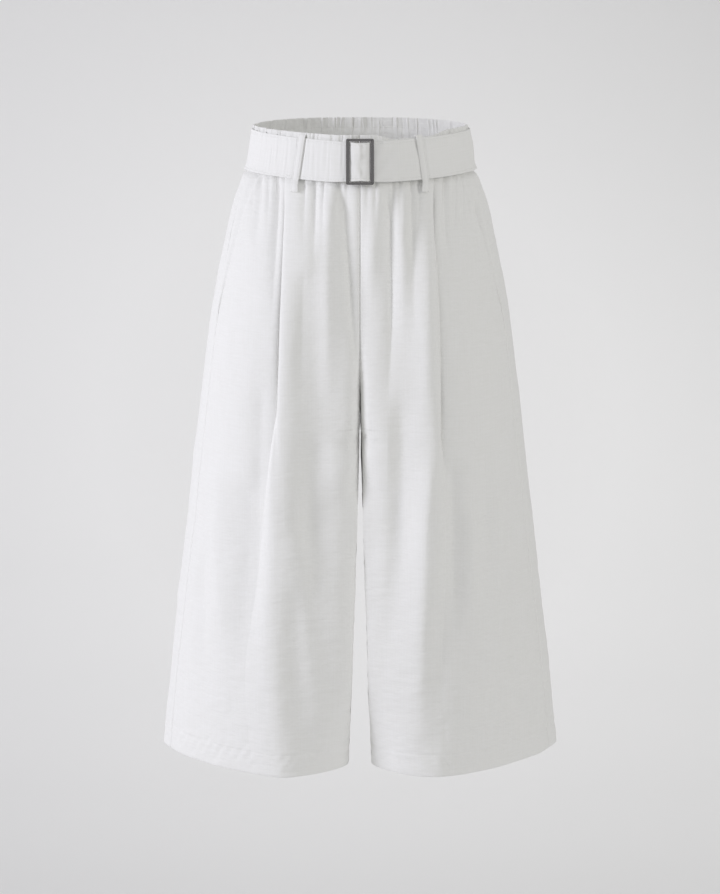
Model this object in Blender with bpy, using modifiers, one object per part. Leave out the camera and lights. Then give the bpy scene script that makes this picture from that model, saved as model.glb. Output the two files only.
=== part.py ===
"""Wide-leg culottes with an elasticated waist and their own buckled belt.

The garment hangs filled out, as on a wearer. Metres, +Z up, the front faces -Y.
The origin is the middle of the waistband. "left" and "right" are the wearer's,
so the left half lies on +X. Every piece of cloth is an open sheet with Solidify.
"""
from collections import namedtuple
from functools import lru_cache
import math

import bmesh
import bpy
from mathutils import Matrix
import numpy as np

# ---- driving sizes -----------------------------------------------------------
CLOTH = 0.0012            # wall of one layer of cloth
STRAP = 0.0014            # wall of the belt, two layers and a stiffener
SEAM_GAP = 0.0004         # clearance between pieces that are sewn together
WAIST_SEAM_Z = -0.0123    # where the waistband meets the panels, behind the belt
HEADER_Z = 0.0277         # frilled upper edge of the waistband
HEADER_BACK_DROP = 0.0040 # how much lower that edge is sewn at the back
HEADER_DIP = 0.0050       # how far the belt has pushed it down on the left front
WAIST_LIFT = 0.0120       # how much higher the whole waist lies at the back
WAIST_LIFT_END_Z = -0.12  # the panels' rows are level from here down
CROTCH_Z = -0.295         # where the four panels meet
CURVE_Z = -0.215          # where the straight centre seams start to curve
CROTCH_Y = 0.018          # front-to-back place of the point between the legs
BEND_RAMP = 0.030         # depth below the crotch over which the legs' flat inner faces start
FLAT_FRONT = 0.998        # how nearly the centre seam reaches the outline's greatest depth
HEM_Z = -0.688            # lower edge of both legs
POCKET_LOW_Z = -0.208     # lower end of the slanted pocket mouth
POCKET_MOUTH = 0.0105     # how far forward of the side seam the mouth starts
POCKET_BAG_Z = -0.262     # lower edge of the pocket bag
POCKET_BAG_X = 0.096      # inner edge of the pocket bag
POCKET_DEPTH = 0.0026     # how far the pocket bag lies behind the front panel

WAIST_DEGREE = 0.0018     # length of one degree round the waist
WAISTBAND_OUT = 0.0026    # distance of the waistband's cloth from the section
GATHER_DEPTH = 0.0009     # half the height of its gathers
GATHERS = 15              # gathers in each half
BELT_HALF = 0.0222        # half the height of the belt
BELT_TIP = 460.0          # degrees round the waist at which its free end stops
STRAP_UNDER = 0.0052      # distance of the belt from the section where it has one layer
STRAP_OVER = 0.0073       # and where it lies over its own start
STRAP_HUMP = 0.0046       # how much further out it goes over the crossbar
BUCKLE_WIDTH = 0.0305
BUCKLE_HEIGHT = 0.0500
BUCKLE_BAR = 0.0042       # width of the frame's upright bars
BUCKLE_RAIL = 0.0033      # width of its top and bottom
BUCKLE_CORNER = 0.0030
BUCKLE_PLATE = 0.0024     # thickness of the frame
BUCKLE_OUT = 0.0084       # distance of the frame's back from the section
CROSSBAR = 0.0009         # radius of the bar that the strap goes over
LOOP_WIDTH = 0.0090
LOOP_FRONT = (0.0600, 0.0690)   # distance of a front loop to the side, at its top and foot
LOOP_BACK = (0.0700, 0.0730)    # and of a back loop
LOOP_OVER_TWO = 0.0094          # distance from the section where it lies on two layers
LOOP_OVER_ONE = 0.0074          # and where it lies on one layer of the belt

# ---- sections of one half of the garment ---------------------------------------
# width: greatest reach to the side; side_y: where that is, front to back
# front_x, front_y: the front-most point; centre_y: the centre-front line
# back_x, back_y: the rear-most point; rear_y: the centre-back line
# inner_x: clearance of the inner leg; inner_y: the bend between its inner face and the front
# seam_inset: the side seam, inside the width
# square: 2 is round, more is boxy, less is pointed, for the inner and outer corners
Section = namedtuple("Section", "z width side_y front_x front_y centre_y back_x back_y rear_y "
                                "inner_x inner_y inner_square front_square back_square "
                                "seam_inset")
SECTIONS = [
    Section(.036, .1145, .006, .012, -.093, -.093, .012, .088, .088, .0, -.004, 5.0, 1.45, 2.0, .003),
    Section(.0, .1196, .006, .012, -.0965, -.0965, .012, .0915, .0915, .0, -.004, 5.0, 1.45, 2.0, .003),
    Section(-.0225, .1243, .006, .014, -.0985, -.0985, .014, .0935, .0935, .0, -.004, 5.0, 1.45, 2.0,
            .004),
    Section(-.0275, .1308, .006, .016, -.1022, -.101, .02, .098, .097, .0, -.004, 5.0, 1.45, 2.0, .0045),
    Section(-.034, .1342, .005, .018, -.104, -.1025, .028, .101, .099, .0, -.004, 5.0, 1.45, 2.0, .005),
    Section(-.06, .144, .004, .032, -.1075, -.1045, .046, .108, .105, .0, -.004, 5.0, 1.5, 2.05, .006),
    Section(-.105, .1553, .004, .05, -.1115, -.1055, .060, .118, .112, .0, -.004, 5.0, 1.58, 2.05, .007),
    Section(-.165, .167, .004, .066, -.115, -.106, .072, .126, .118, .0, -.004, 5.0, 1.65, 2.05, .008),
    Section(-.215, .1745, .005, .076, -.117, -.106, .08, .129, .119, .0, -.004, 8.0, 1.68, 2.0, .009),
    Section(-.295, .1845, .006, .086, -.119, -.106, .09, .128, .119, .0013, -.020, 11.0, 1.65, 1.95,
            .0098),
    Section(-.37, .1935, .008, .091, -.121, -.106, .096, .125, .119, .0029, -.100, 2.0, 1.6, 1.9, .01),
    Section(-.46, .2045, .01, .093, -.124, -.106, .1, .122, .119, .0055, -.104, 1.7, 1.55, 1.85, .0098),
    Section(-.575, .218, .012, .094, -.1275, -.106, .104, .12, .119, .0092, -.105, 1.6, 1.48, 1.8, .009),
    Section(-.688, .23, .014, .088, -.131, -.106, .108, .118, .119, .0129, -.079, 1.5, 1.42, 1.75, .009),
]

# ---- the pleat, one on each front ----------------------------------------------
# x: place of the folded edge; overlap: how far the edge lies over the cloth beyond
# it, less than nothing once the pleat has opened; rise: height of the edge above it
Pleat = namedtuple("Pleat", "z x overlap rise")
PLEAT_RIGHT = [
    Pleat(0.0000, .0800, .024, .0036),
    Pleat(-.0500, .0835, .023, .0037),
    Pleat(-.1200, .0860, .018, .0048),
    Pleat(-.2000, .0885, .010, .0062),
    Pleat(-.2700, .0905, .000, .0076),
    Pleat(-.3600, .0925, -.012, .0086),
    Pleat(-.4600, .0950, -.022, .0078),
    Pleat(-.5700, .1000, -.032, .0056),
    Pleat(-.6880, .0880, -.036, .0030),
]
PLEAT_LEFT = [
    Pleat(0.0000, .0780, .024, .0036),
    Pleat(-.0500, .0815, .023, .0037),
    Pleat(-.1200, .0850, .019, .0048),
    Pleat(-.2000, .0875, .013, .0064),
    Pleat(-.2700, .0885, .004, .0080),
    Pleat(-.3600, .0870, -.007, .0094),
    Pleat(-.4600, .0790, -.016, .0090),
    Pleat(-.5700, .0680, -.024, .0068),
    Pleat(-.6880, .0700, -.030, .0032),
]

# ---- the largest soft folds ------------------------------------------------------
# each runs from (x, z) at its top to (x, z) at its foot; a depth below nothing is
# a trough, above nothing a ridge; width is the half width of its rounded profile
Fold = namedtuple("Fold", "x_top z_top x_low z_low width depth")
FRONT_RIGHT_FOLDS = [
    Fold(.022, -.020, .006, -.240, .015, -.0045),
    Fold(.048, -.015, .036, -.110, .012, -.0030),
    Fold(.036, -.030, .040, -.300, .016, .0025),
    Fold(.058, -.120, .060, -.330, .016, -.0025),
    Fold(.112, -.015, .118, -.090, .012, -.0025),
    Fold(.122, -.400, .138, -.600, .022, -.0040),
    Fold(.158, -.340, .166, -.600, .020, .0030),
    Fold(.064, -.400, .040, -.640, .016, .0030),
]
FRONT_LEFT_FOLDS = [
    Fold(.031, -.018, .030, -.240, .012, -.0045),
    Fold(.020, -.025, .012, -.160, .012, .0030),
    Fold(.044, -.025, .048, -.180, .013, .0028),
    Fold(.056, -.060, .060, -.150, .010, -.0020),
    Fold(.097, -.015, .100, -.110, .011, -.0030),
    Fold(.104, -.380, .106, -.560, .014, -.0040),
    Fold(.132, -.400, .128, -.560, .018, .0030),
    Fold(.160, -.360, .158, -.580, .018, .0028),
]
BACK_RIGHT_FOLDS = [
    Fold(.028, -.020, .024, -.140, .012, -.0030),
    Fold(.058, -.015, .064, -.180, .013, -.0035),
    Fold(.090, -.015, .098, -.130, .013, -.0030),
    Fold(.060, -.260, .070, -.640, .024, -.0050),
    Fold(.120, -.240, .136, -.620, .024, -.0045),
    Fold(.094, -.300, .102, -.660, .022, .0045),
]
BACK_LEFT_FOLDS = [
    Fold(.022, -.015, .026, -.120, .012, -.0030),
    Fold(.052, -.020, .054, -.170, .014, -.0032),
    Fold(.086, -.015, .090, -.150, .012, -.0034),
    Fold(.066, -.300, .060, -.660, .022, -.0045),
    Fold(.126, -.260, .128, -.600, .026, -.0048),
    Fold(.098, -.330, .090, -.640, .022, .0040),
]

# ---- rows and columns of the sheets ----------------------------------------------
STRAIGHT_ROWS = [WAIST_SEAM_Z, -.0225, -.034, -.060, -.100, -.145, -.185, CURVE_Z]
CURVE_ROWS = [math.radians(a) for a in (25, 48, 68, 90)]    # down the crotch curve
LEG_ROWS = [-.335, -.390, -.455, -.525, -.600, -.660, HEM_Z]
FORK_X = 0.030            # cloth nearer to the middle than this turns in between the legs
BEND_FULL = 0.030         # length of the run between the legs at which it gets its own columns
COLUMNS_FORK = 4          # columns across that cloth
COLUMNS_INSIDE = 5        # columns from there to the pleat
COLUMNS_OUTSIDE = 8       # columns between the pleat and the side
SIDE_CROWDING = 1.5       # how much closer together columns lie at the side, 1 is evenly
COLUMNS_BACK = 10         # columns from there to the side seam behind
COLUMNS_POCKET = 6        # columns of the pocket bag that the front panel covers
COLUMNS_WAISTBAND = 61    # four to a gather
POCKET_FLUSH = 0.0060     # a mouth narrower than this leaves the pocket behind the front
CROSSBAR_SPAN = 6.5       # degrees round the waist over which the strap clears the bar
PLEAT_LEAD = 0.008        # cloth on each side of the folded edge that stays flat
PLEAT_RAMP = 0.040        # width over which the cloth climbs to the folded edge
TURN = 0.0010             # radius of the pleat's folded edges

COLOURS = {"cloth": (0.86, 0.86, 0.85, 1.0), "metal": (0.30, 0.30, 0.31, 1.0)}


def tidy_scene():
    """Start from an empty scene and return the garment's collection."""
    for thing in list(bpy.data.objects):
        bpy.data.objects.remove(thing, do_unlink=True)
    garment = bpy.data.collections.new("culottes")
    bpy.context.scene.collection.children.link(garment)
    return garment


def material(name, kind, roughness, metallic):
    """A plain principled material in one of the garment's two colours."""
    made = bpy.data.materials.new(name)
    made.use_nodes = True
    shader = made.node_tree.nodes["Principled BSDF"]
    shader.inputs["Base Color"].default_value = COLOURS[kind]
    shader.inputs["Roughness"].default_value = roughness
    shader.inputs["Metallic"].default_value = metallic
    return made


# ---- reading the tables ------------------------------------------------------------
def smooth(t):
    """Ease from 0 to 1."""
    t = min(max(t, 0.0), 1.0)
    return t * t * (3.0 - 2.0 * t)


def read(table, z):
    """The table's row at height z, on smooth curves through its rows."""
    heights = [row.z for row in table]
    z = min(max(z, heights[-1]), heights[0])
    low = next(i for i in range(1, len(table)) if z >= heights[i])
    above, below = table[low - 1], table[low]
    span = below.z - above.z
    t = (z - above.z) / span
    before = table[max(low - 2, 0)]
    after = table[min(low + 1, len(table) - 1)]
    values = []
    for a, p, q, b in zip(before, above, below, after):
        slope_p = (q - a) / (below.z - before.z) * span
        slope_q = (b - p) / (after.z - above.z) * span
        values.append(p * (1 + 2 * t) * (1 - t) ** 2 + slope_p * t * (1 - t) ** 2
                      + q * t * t * (3 - 2 * t) + slope_q * t * t * (t - 1))
    return type(above)(*values)


def corner(start, end, square, turned, steps=40):
    """A quarter of a rounded outline; turned says that it leaves start along Y."""
    angle = np.linspace(0.0, math.pi / 2, steps)
    cosine, sine = np.cos(angle), np.sin(angle)
    reach = (cosine ** square + sine ** square) ** (-1.0 / square)
    rising, falling = reach * sine, 1.0 - reach * cosine
    along_x, along_y = (falling, rising) if turned else (rising, falling)
    return np.stack([start[0] + (end[0] - start[0]) * along_x,
                     start[1] + (end[1] - start[1]) * along_y], axis=1)


def seam_y(z, level, front):
    """Front-to-back place of the centre seam, which curves in to the crotch point."""
    top_y = level.centre_y if front else level.rear_y
    drop = min(max((CURVE_Z - z) / (CURVE_Z - CROTCH_Z), 0.0), 1.0)
    return top_y + (CROTCH_Y - top_y) * (1.0 - math.sqrt(1.0 - drop * drop))


def inner_corner(z, level, extreme, front, bend):
    """The outline from the middle, or from the inner leg seam, to the front or back.

    Above the crotch each leg's tube reaches past the middle and is cut off there, so
    that the cut runs down the curved centre seam. Below the crotch a flat inner face
    leads from the inner leg seam to the bend, where the front starts.
    """
    if z <= CROTCH_Z:
        turn = (level.inner_x, CROTCH_Y - bend)
        turned = corner(turn, extreme, level.inner_square, True)
        return np.concatenate([[(level.inner_x, CROTCH_Y)], turned]) if bend else turned
    depth = min((seam_y(z, level, front) - CROTCH_Y) / (extreme[1] - CROTCH_Y), FLAT_FRONT)
    square = level.inner_square
    reach = max(1.0 - depth ** square, 0.0) ** (1.0 / square)
    tube = corner((extreme[0] * (1.0 - 1.0 / reach), CROTCH_Y), extreme, square, True)
    kept = tube[tube[:, 0] > 0.0]
    return np.concatenate([[(0.0, np.interp(0.0, tube[:, 0], tube[:, 1]))], kept])


class Outline:
    """Half of the garment's outline at height z, front or back, from the inner edge.

    Distances along it are real, so a fold keeps its width round the body. It runs on
    past the side as far as the side seam, which lies a little in front of it.
    """

    def __init__(self, z, front):
        level = read(SECTIONS, z)
        self.z, self.front = z, front
        self.seam_x = level.width - level.seam_inset
        opened = smooth((CROTCH_Z - z) / BEND_RAMP)
        self.bend = (CROTCH_Y - level.inner_y) * opened if front else 0.0
        side = (level.width, level.side_y)
        foremost, rearmost = (level.front_x, level.front_y), (level.back_x, level.back_y)
        extreme = foremost if front else rearmost
        square = level.front_square if front else level.back_square
        near = inner_corner(z, level, extreme, front, self.bend)
        line = np.concatenate([near, corner(extreme, side, square, False)[1:]])
        self.side_index = len(line)
        if not front:
            line = np.concatenate([line, corner(side, foremost, level.front_square, True)[1:]])
        self.line = line
        self.where = np.concatenate([[0.0], np.cumsum(np.hypot(*np.diff(line, axis=0).T))])
        if front:
            self.seam = self.at_x(self.seam_x)
        else:
            tail = slice(self.side_index - 1, len(line))
            self.seam = float(np.interp(-self.seam_x, -line[tail, 0], self.where[tail]))

    def at_x(self, x):
        """The distance along the outline at which it reaches x."""
        reached = slice(0, self.side_index)
        return float(np.interp(x, self.line[reached, 0], self.where[reached]))

    def spot(self, distance):
        """The point at a distance along the outline."""
        return np.array([np.interp(distance, self.where, self.line[:, 0]),
                         np.interp(distance, self.where, self.line[:, 1])])

    def outward(self, distance, reach=0.002):
        """The outward direction at a distance along the outline."""
        before = self.spot(max(distance - reach, 0.0))
        after = self.spot(min(distance + reach, self.where[-1]))
        dx, dy = (after - before) / np.hypot(*(after - before))
        return np.array([dy, -dx]) if self.front else np.array([-dy, dx])


@lru_cache(maxsize=None)
def outline_at(z, front):
    return Outline(z, front)


def lift(y, z):
    """The waist lies higher at the back than at the front."""
    backness = min(max(0.5 + y / 0.2, 0.0), 1.0)
    return WAIST_LIFT * backness * smooth((z - WAIST_LIFT_END_Z) / (0.0 - WAIST_LIFT_END_Z))


def placed(outline, distance, push, wall):
    """A point of a half that is pushed out from the outline and clear of the middle."""
    out = outline.outward(distance)
    x, y = outline.spot(distance) + out * push
    x = max(x, SEAM_GAP / 2 + wall * 0.65 * abs(out[0]))
    return (x, y, outline.z + lift(y, outline.z))


def folds_at(outline, folds, distance):
    """How far the soft folds push the cloth out at one place."""
    push = 0.0
    for fold in folds:
        t = (fold.z_top - outline.z) / (fold.z_top - fold.z_low)
        if not 0.0 < t < 1.0:
            continue
        middle = outline.at_x(fold.x_top + (fold.x_low - fold.x_top) * t)
        off = (distance - middle) / fold.width
        fade = smooth(t / 0.2) * smooth((1.0 - t) / 0.5)
        push += fold.depth * fade * math.exp(-off * off)
    return push


def mouth_at(outline):
    """The pocket mouth, a slant that meets the side seam at its lower end."""
    slant = smooth((outline.z - POCKET_LOW_Z) / (WAIST_SEAM_Z - POCKET_LOW_Z))
    return outline.at_x(outline.seam_x - POCKET_MOUTH * slant)


# ---- building sheets -----------------------------------------------------------------
def sheet(name, rows, wall, look, garment, closed=False, inside_out=False):
    """A sheet through rows of points, thickened equally on both sides."""
    columns = len(rows[0])
    points = [point for row in rows for point in row]
    faces = []
    for r in range(len(rows) - 1):
        for c in range(columns if closed else columns - 1):
            step = (c + 1) % columns
            quad = (r * columns + c, (r + 1) * columns + c,
                    (r + 1) * columns + step, r * columns + step)
            faces.append(quad[::-1] if inside_out else quad)
    mesh = bpy.data.meshes.new(name)
    mesh.from_pydata(points, [], faces)
    mesh.materials.append(look)
    mesh.shade_smooth()
    piece = bpy.data.objects.new(name, mesh)
    garment.objects.link(piece)
    thick = piece.modifiers.new("cloth", "SOLIDIFY")
    thick.thickness = wall
    thick.offset = 0.0
    return piece


def mirrored(rows):
    """The rows of the other half of the garment."""
    return [[(-x, y, z) for x, y, z in row] for row in rows]


def row_heights():
    """The heights of the panels' rows, close together down the crotch curve."""
    curve = [CURVE_Z + (CROTCH_Z - CURVE_Z) * math.sin(a) for a in CURVE_ROWS]
    return STRAIGHT_ROWS + curve + LEG_ROWS


def pleat_columns(pleat):
    """The pleat across its folds: distance from its edge and height, point by point."""
    shut = max(-1.0, min(1.0, pleat.overlap / 0.004))
    lap, rise = pleat.overlap, pleat.rise
    return [(-PLEAT_LEAD, rise), (-TURN, rise), (0.0, rise * 0.76),
            (-TURN * shut, rise * 0.53), (TURN * shut - lap, rise * 0.47),
            (-lap, rise * 0.24), (TURN - lap, 0.0)]


def pleat_ramp(pleat, edge, distance):
    """The height that the cloth has climbed on its way to the pleat's edge."""
    return pleat.rise * smooth((distance - edge + PLEAT_LEAD + PLEAT_RAMP) / PLEAT_RAMP)


def crowded(columns):
    """Shares from 0 to 1 that crowd towards the side, where the cloth turns tightly."""
    return 1.0 - (1.0 - np.linspace(0.0, 1.0, columns)) ** SIDE_CROWDING


def fork_columns(outline, first, fork):
    """Columns from the inner edge to the fork, one of them on the bend between the legs."""
    even = np.linspace(first, fork, COLUMNS_FORK, endpoint=False)
    half = COLUMNS_FORK // 2
    bent = np.concatenate([np.linspace(first, outline.bend, half, endpoint=False),
                           np.linspace(outline.bend, fork, COLUMNS_FORK - half, endpoint=False)])
    return even + (bent - even) * smooth(outline.bend / BEND_FULL)


def front_row(z, pleats, folds):
    """One row of a front panel, from the centre or inner leg to the side."""
    outline = outline_at(z, True)
    pleat = read(pleats, z)
    edge = outline.at_x(pleat.x)
    first, last = SEAM_GAP / 2, mouth_at(outline) - SEAM_GAP / 2
    fork = outline.at_x(FORK_X)
    inside = np.concatenate([
        fork_columns(outline, first, fork),
        np.linspace(fork, edge - PLEAT_LEAD, COLUMNS_INSIDE, endpoint=False)])
    places = [(distance, pleat_ramp(pleat, edge, distance)) for distance in inside]
    places += [(edge + along, height) for along, height in pleat_columns(pleat)]
    past = edge + max(0.0, -pleat.overlap) + PLEAT_LEAD
    places += [(past + (last - past) * share, 0.0) for share in crowded(COLUMNS_OUTSIDE)]
    return [placed(outline, distance, height + folds_at(outline, folds, distance), CLOTH)
            for distance, height in places]


def back_row(z, folds):
    """One row of a back panel, from the centre or inner leg round to the side seam."""
    outline = outline_at(z, False)
    fork = outline.at_x(FORK_X)
    distances = np.concatenate([
        np.linspace(SEAM_GAP / 2, fork, COLUMNS_FORK, endpoint=False),
        np.linspace(fork, outline.seam - SEAM_GAP / 2, COLUMNS_BACK)])
    return [placed(outline, distance, folds_at(outline, folds, distance), CLOTH)
            for distance in distances]


def pocket_row(z, folds):
    """One row of the pocket's back, which shows between the mouth and the side seam."""
    outline = outline_at(z, True)
    mouth = mouth_at(outline)
    turn = min(mouth + CLOTH, outline.seam - 3 * SEAM_GAP)
    last = outline.seam - SEAM_GAP / 2
    start = outline.at_x(POCKET_BAG_X)
    hidden = start + (turn - start) * crowded(COLUMNS_POCKET)
    rise = smooth((outline.seam - mouth - POCKET_FLUSH / 2) / POCKET_FLUSH)
    places = [(distance, 0.0) for distance in hidden]
    places += [((turn + last) / 2, rise * 0.6), (last, rise)]
    return [placed(outline, distance,
                   folds_at(outline, folds, distance) - POCKET_DEPTH * (1.0 - up), CLOTH)
            for distance, up in places]


def ring_point(degrees, z, out):
    """A point round the waist, 0 at the centre front, 90 at the left side, 180 behind."""
    degrees = degrees % 360.0
    half_turn = 360.0 - degrees if degrees > 180.0 else degrees
    front, back = outline_at(z, True), outline_at(z, False)
    front_length = front.where[-1]
    back_length = back.where[back.side_index - 1]
    distance = half_turn / 180.0 * (front_length + back_length)
    outline = front if distance < front_length else back
    if outline is back:
        distance = front_length + back_length - distance
    x, y = outline.spot(distance) + outline.outward(distance) * out
    return (-x if degrees > 180.0 else x, y, z + lift(y, z))


def header_height(degrees):
    """The frilled upper edge of the waistband, pushed down on the left front."""
    backness = (1.0 - math.cos(math.radians(degrees))) / 2
    dip = smooth((degrees - 8.0) / 14.0) * smooth((68.0 - degrees) / 22.0)
    return HEADER_Z - HEADER_BACK_DROP * backness - HEADER_DIP * dip


def waistband_rows(first, last):
    """The gathered waistband from one side seam to the other."""
    gap = SEAM_GAP / WAIST_DEGREE
    columns = np.linspace(first + gap, last - gap, COLUMNS_WAISTBAND)
    rows = []
    for part in (1.0, 0.55, 0.18, 0.0):
        row = []
        for i, degrees in enumerate(columns):
            wave = math.cos(2 * math.pi * GATHERS * i / (COLUMNS_WAISTBAND - 1))
            top, foot = header_height(degrees), WAIST_SEAM_Z + SEAM_GAP
            out = WAISTBAND_OUT + GATHER_DEPTH * wave * (0.35 + 0.65 * part)
            row.append(ring_point(degrees, foot + (top - foot) * part, out))
        rows.append(row)
    return rows


def strap_out(degrees):
    """How far the strap lies outside the section: under, round, and over the bar."""
    joined = STRAP_UNDER + (STRAP_OVER - STRAP_UNDER) * smooth((degrees - 325.0) / 26.0)
    if abs(degrees - 360.0) > CROSSBAR_SPAN:
        return joined
    return joined + STRAP_HUMP * math.cos((degrees - 360.0) / CROSSBAR_SPAN * math.pi / 2) ** 2


def belt_rows():
    """The belt, once round from the buckle, over its bar and on past the side."""
    turns = np.concatenate([np.linspace(1.0, 348.0, 84), np.linspace(351.0, 369.0, 19),
                            np.linspace(373.0, BELT_TIP, 24)])
    rows = []
    for part in (1.0, -1.0):
        row = []
        for degrees in turns:
            pinch = 0.080 * math.exp(-((degrees - 360.0) / 9.0) ** 2)
            height = part * BELT_HALF * (1.0 - pinch)
            row.append(ring_point(degrees, height, strap_out(degrees)))
        rows.append(row)
    return rows


def loop_rows(front, over):
    """A belt loop, from behind the header over the belt to the panel below it."""
    top, foot = LOOP_FRONT if front else LOOP_BACK
    landing = 0.0058 if front else 0.0022
    head = 0.0250 if front else 0.0232
    path = [(0.0052, head), (over - 0.0008, head + 0.0012), (over, head - 0.0018), (over, 0.0),
            (over, -0.0236), (landing + 0.0022, -0.0285), (landing, -0.0325), (landing, -0.0350)]
    rows = []
    for out, z in path:
        outline = outline_at(z, front)
        beside = foot + (top - foot) * (z - path[-1][1]) / (path[0][1] - path[-1][1])
        middle = outline.at_x(beside)
        row = []
        for across in (-0.5, 0.0, 0.5):
            distance = middle + across * LOOP_WIDTH
            x, y = outline.spot(distance) + outline.outward(distance) * out
            row.append((x, y, z + lift(y, z)))
        rows.append(row)
    return rows


def rounded_rectangle(curve, width, height, radius):
    """Add a closed rounded rectangle to a flat curve."""
    corners = []
    for cx, cy, start in ((1, 1, 0), (-1, 1, 90), (-1, -1, 180), (1, -1, 270)):
        for turn in (0, 30, 60, 90):
            angle = math.radians(start + turn)
            corners.append((cx * (width / 2 - radius) + radius * math.cos(angle),
                            cy * (height / 2 - radius) + radius * math.sin(angle)))
    spline = curve.splines.new("POLY")
    spline.points.add(len(corners) - 1)
    for point, (x, y) in zip(spline.points, corners):
        point.co = (x, y, 0.0, 1.0)
    spline.use_cyclic_u = True


def buckle(look, garment):
    """A flat rectangular frame with a crossbar down its middle."""
    flat = bpy.data.curves.new("buckle_outline", "CURVE")
    flat.dimensions = "2D"
    flat.fill_mode = "BOTH"
    flat.extrude = BUCKLE_PLATE / 2
    rounded_rectangle(flat, BUCKLE_WIDTH, BUCKLE_HEIGHT, BUCKLE_CORNER)
    rounded_rectangle(flat, BUCKLE_WIDTH - 2 * BUCKLE_BAR, BUCKLE_HEIGHT - 2 * BUCKLE_RAIL,
                      BUCKLE_CORNER / 2)
    outline = bpy.data.objects.new("buckle_outline", flat)
    garment.objects.link(outline)
    bpy.context.view_layer.update()
    evaluated = outline.evaluated_get(bpy.context.evaluated_depsgraph_get())
    mesh = bpy.data.meshes.new_from_object(evaluated)
    bpy.data.objects.remove(outline)
    shape = bmesh.new()
    shape.from_mesh(mesh)
    bmesh.ops.remove_doubles(shape, verts=shape.verts, dist=0.00001)
    shape.to_mesh(mesh)
    shape.free()
    frame = bpy.data.objects.new("buckle", mesh)
    mesh.materials.clear()
    mesh.materials.append(look)
    garment.objects.link(frame)

    bar_mesh = bpy.data.meshes.new("crossbar")
    shape = bmesh.new()
    upright = Matrix.Rotation(math.pi / 2, 4, "X")
    bmesh.ops.create_cone(shape, cap_ends=True, segments=12, radius1=CROSSBAR, radius2=CROSSBAR,
                          depth=BUCKLE_HEIGHT - BUCKLE_RAIL, matrix=upright)
    shape.to_mesh(bar_mesh)
    shape.free()
    bar = bpy.data.objects.new("crossbar", bar_mesh)
    bar.hide_render = True
    bar.display_type = "WIRE"
    helpers = bpy.data.collections.new("cutters")
    bpy.context.scene.collection.children.link(helpers)
    helpers.objects.link(bar)
    join = frame.modifiers.new("crossbar", "BOOLEAN")
    join.operation = "UNION"
    join.object = bar

    slope = math.atan2(read(SECTIONS, 0.0225).centre_y - read(SECTIONS, -0.0225).centre_y, 0.045)
    front_y = read(SECTIONS, 0.0).centre_y - BUCKLE_OUT - BUCKLE_PLATE / 2
    stand = Matrix.Translation((0.0, front_y, 0.0)) @ Matrix.Rotation(math.pi / 2 - slope, 4, "X")
    frame.matrix_world = stand
    bar.matrix_world = stand


def main():
    garment = tidy_scene()
    cloth = material("off_white_linen", "cloth", 0.9, 0.0)
    metal = material("gunmetal", "metal", 0.35, 1.0)
    heights = row_heights()
    pocket_heights = [z for z in heights if z > POCKET_BAG_Z] + [POCKET_BAG_Z]
    sides = (("left", False, PLEAT_LEFT, FRONT_LEFT_FOLDS, BACK_LEFT_FOLDS, LOOP_OVER_TWO),
             ("right", True, PLEAT_RIGHT, FRONT_RIGHT_FOLDS, BACK_RIGHT_FOLDS, LOOP_OVER_ONE))
    for side, other_half, pleats, front_folds, back_folds, loop_over in sides:
        pieces = {
            "front_": ([front_row(z, pleats, front_folds) for z in heights], False),
            "back_": ([back_row(z, back_folds) for z in heights], True),
            "pocket_": ([pocket_row(z, front_folds) for z in pocket_heights], False),
            "loop_front_": (loop_rows(True, loop_over), False),
            "loop_back_": (loop_rows(False, LOOP_OVER_ONE), True),
        }
        for name, (rows, backwards) in pieces.items():
            rows = mirrored(rows) if other_half else rows
            sheet(name + side, rows, CLOTH, cloth, garment, inside_out=backwards != other_half)
    sheet("waistband_front", waistband_rows(-90.0, 90.0), CLOTH, cloth, garment)
    sheet("waistband_back", waistband_rows(90.0, 270.0), CLOTH, cloth, garment)
    sheet("belt", belt_rows(), STRAP, cloth, garment)
    buckle(metal, garment)


main()
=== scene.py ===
# %% [markdown]
# # Wide-leg culottes with their own belt
# The garment hangs filled out, with nobody in it. Its frame gives every piece its
# place: metres, +Z up, the front faces -Y, and the wearer's left is on +X. The
# origin is the middle of the waist.

# %% Load the frame
import math
from collections import namedtuple
from functools import lru_cache

import bpy
import numpy as np
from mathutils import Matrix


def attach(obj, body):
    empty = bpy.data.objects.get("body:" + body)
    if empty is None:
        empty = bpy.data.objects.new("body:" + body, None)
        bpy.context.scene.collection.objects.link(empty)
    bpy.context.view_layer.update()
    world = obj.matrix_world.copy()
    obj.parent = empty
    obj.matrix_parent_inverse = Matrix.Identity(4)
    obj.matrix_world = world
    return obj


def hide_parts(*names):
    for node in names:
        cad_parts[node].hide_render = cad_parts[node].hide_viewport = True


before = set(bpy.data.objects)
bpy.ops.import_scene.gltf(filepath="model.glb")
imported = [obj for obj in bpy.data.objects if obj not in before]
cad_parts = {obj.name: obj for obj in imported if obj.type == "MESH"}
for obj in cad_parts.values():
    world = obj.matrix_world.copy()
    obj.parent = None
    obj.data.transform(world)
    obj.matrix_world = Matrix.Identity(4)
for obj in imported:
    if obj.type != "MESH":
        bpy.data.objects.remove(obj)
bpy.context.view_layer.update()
MM = 0.001

# %% [markdown]
# ## Camera and light
# The camera comes first, because everything is judged through it. It stands 3.2 m in
# front, a little above the waist, with a long lens, so the legs hardly converge.
# White cloth needs soft light: a key far to the left draws the folds, a weaker fill
# stands in front on the right, a third light brightens the paper behind, and a pale
# room fills the shadows.

# %% Camera
def add_object(name, data):
    """Put new data into the scene as an object."""
    made = bpy.data.objects.new(name, data)
    bpy.context.scene.collection.objects.link(made)
    return made


CAMERA_PLACE = (0.0, -3.2, 0.25)
CAMERA_TARGET_Z = -0.335
LENS = 114.2

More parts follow.
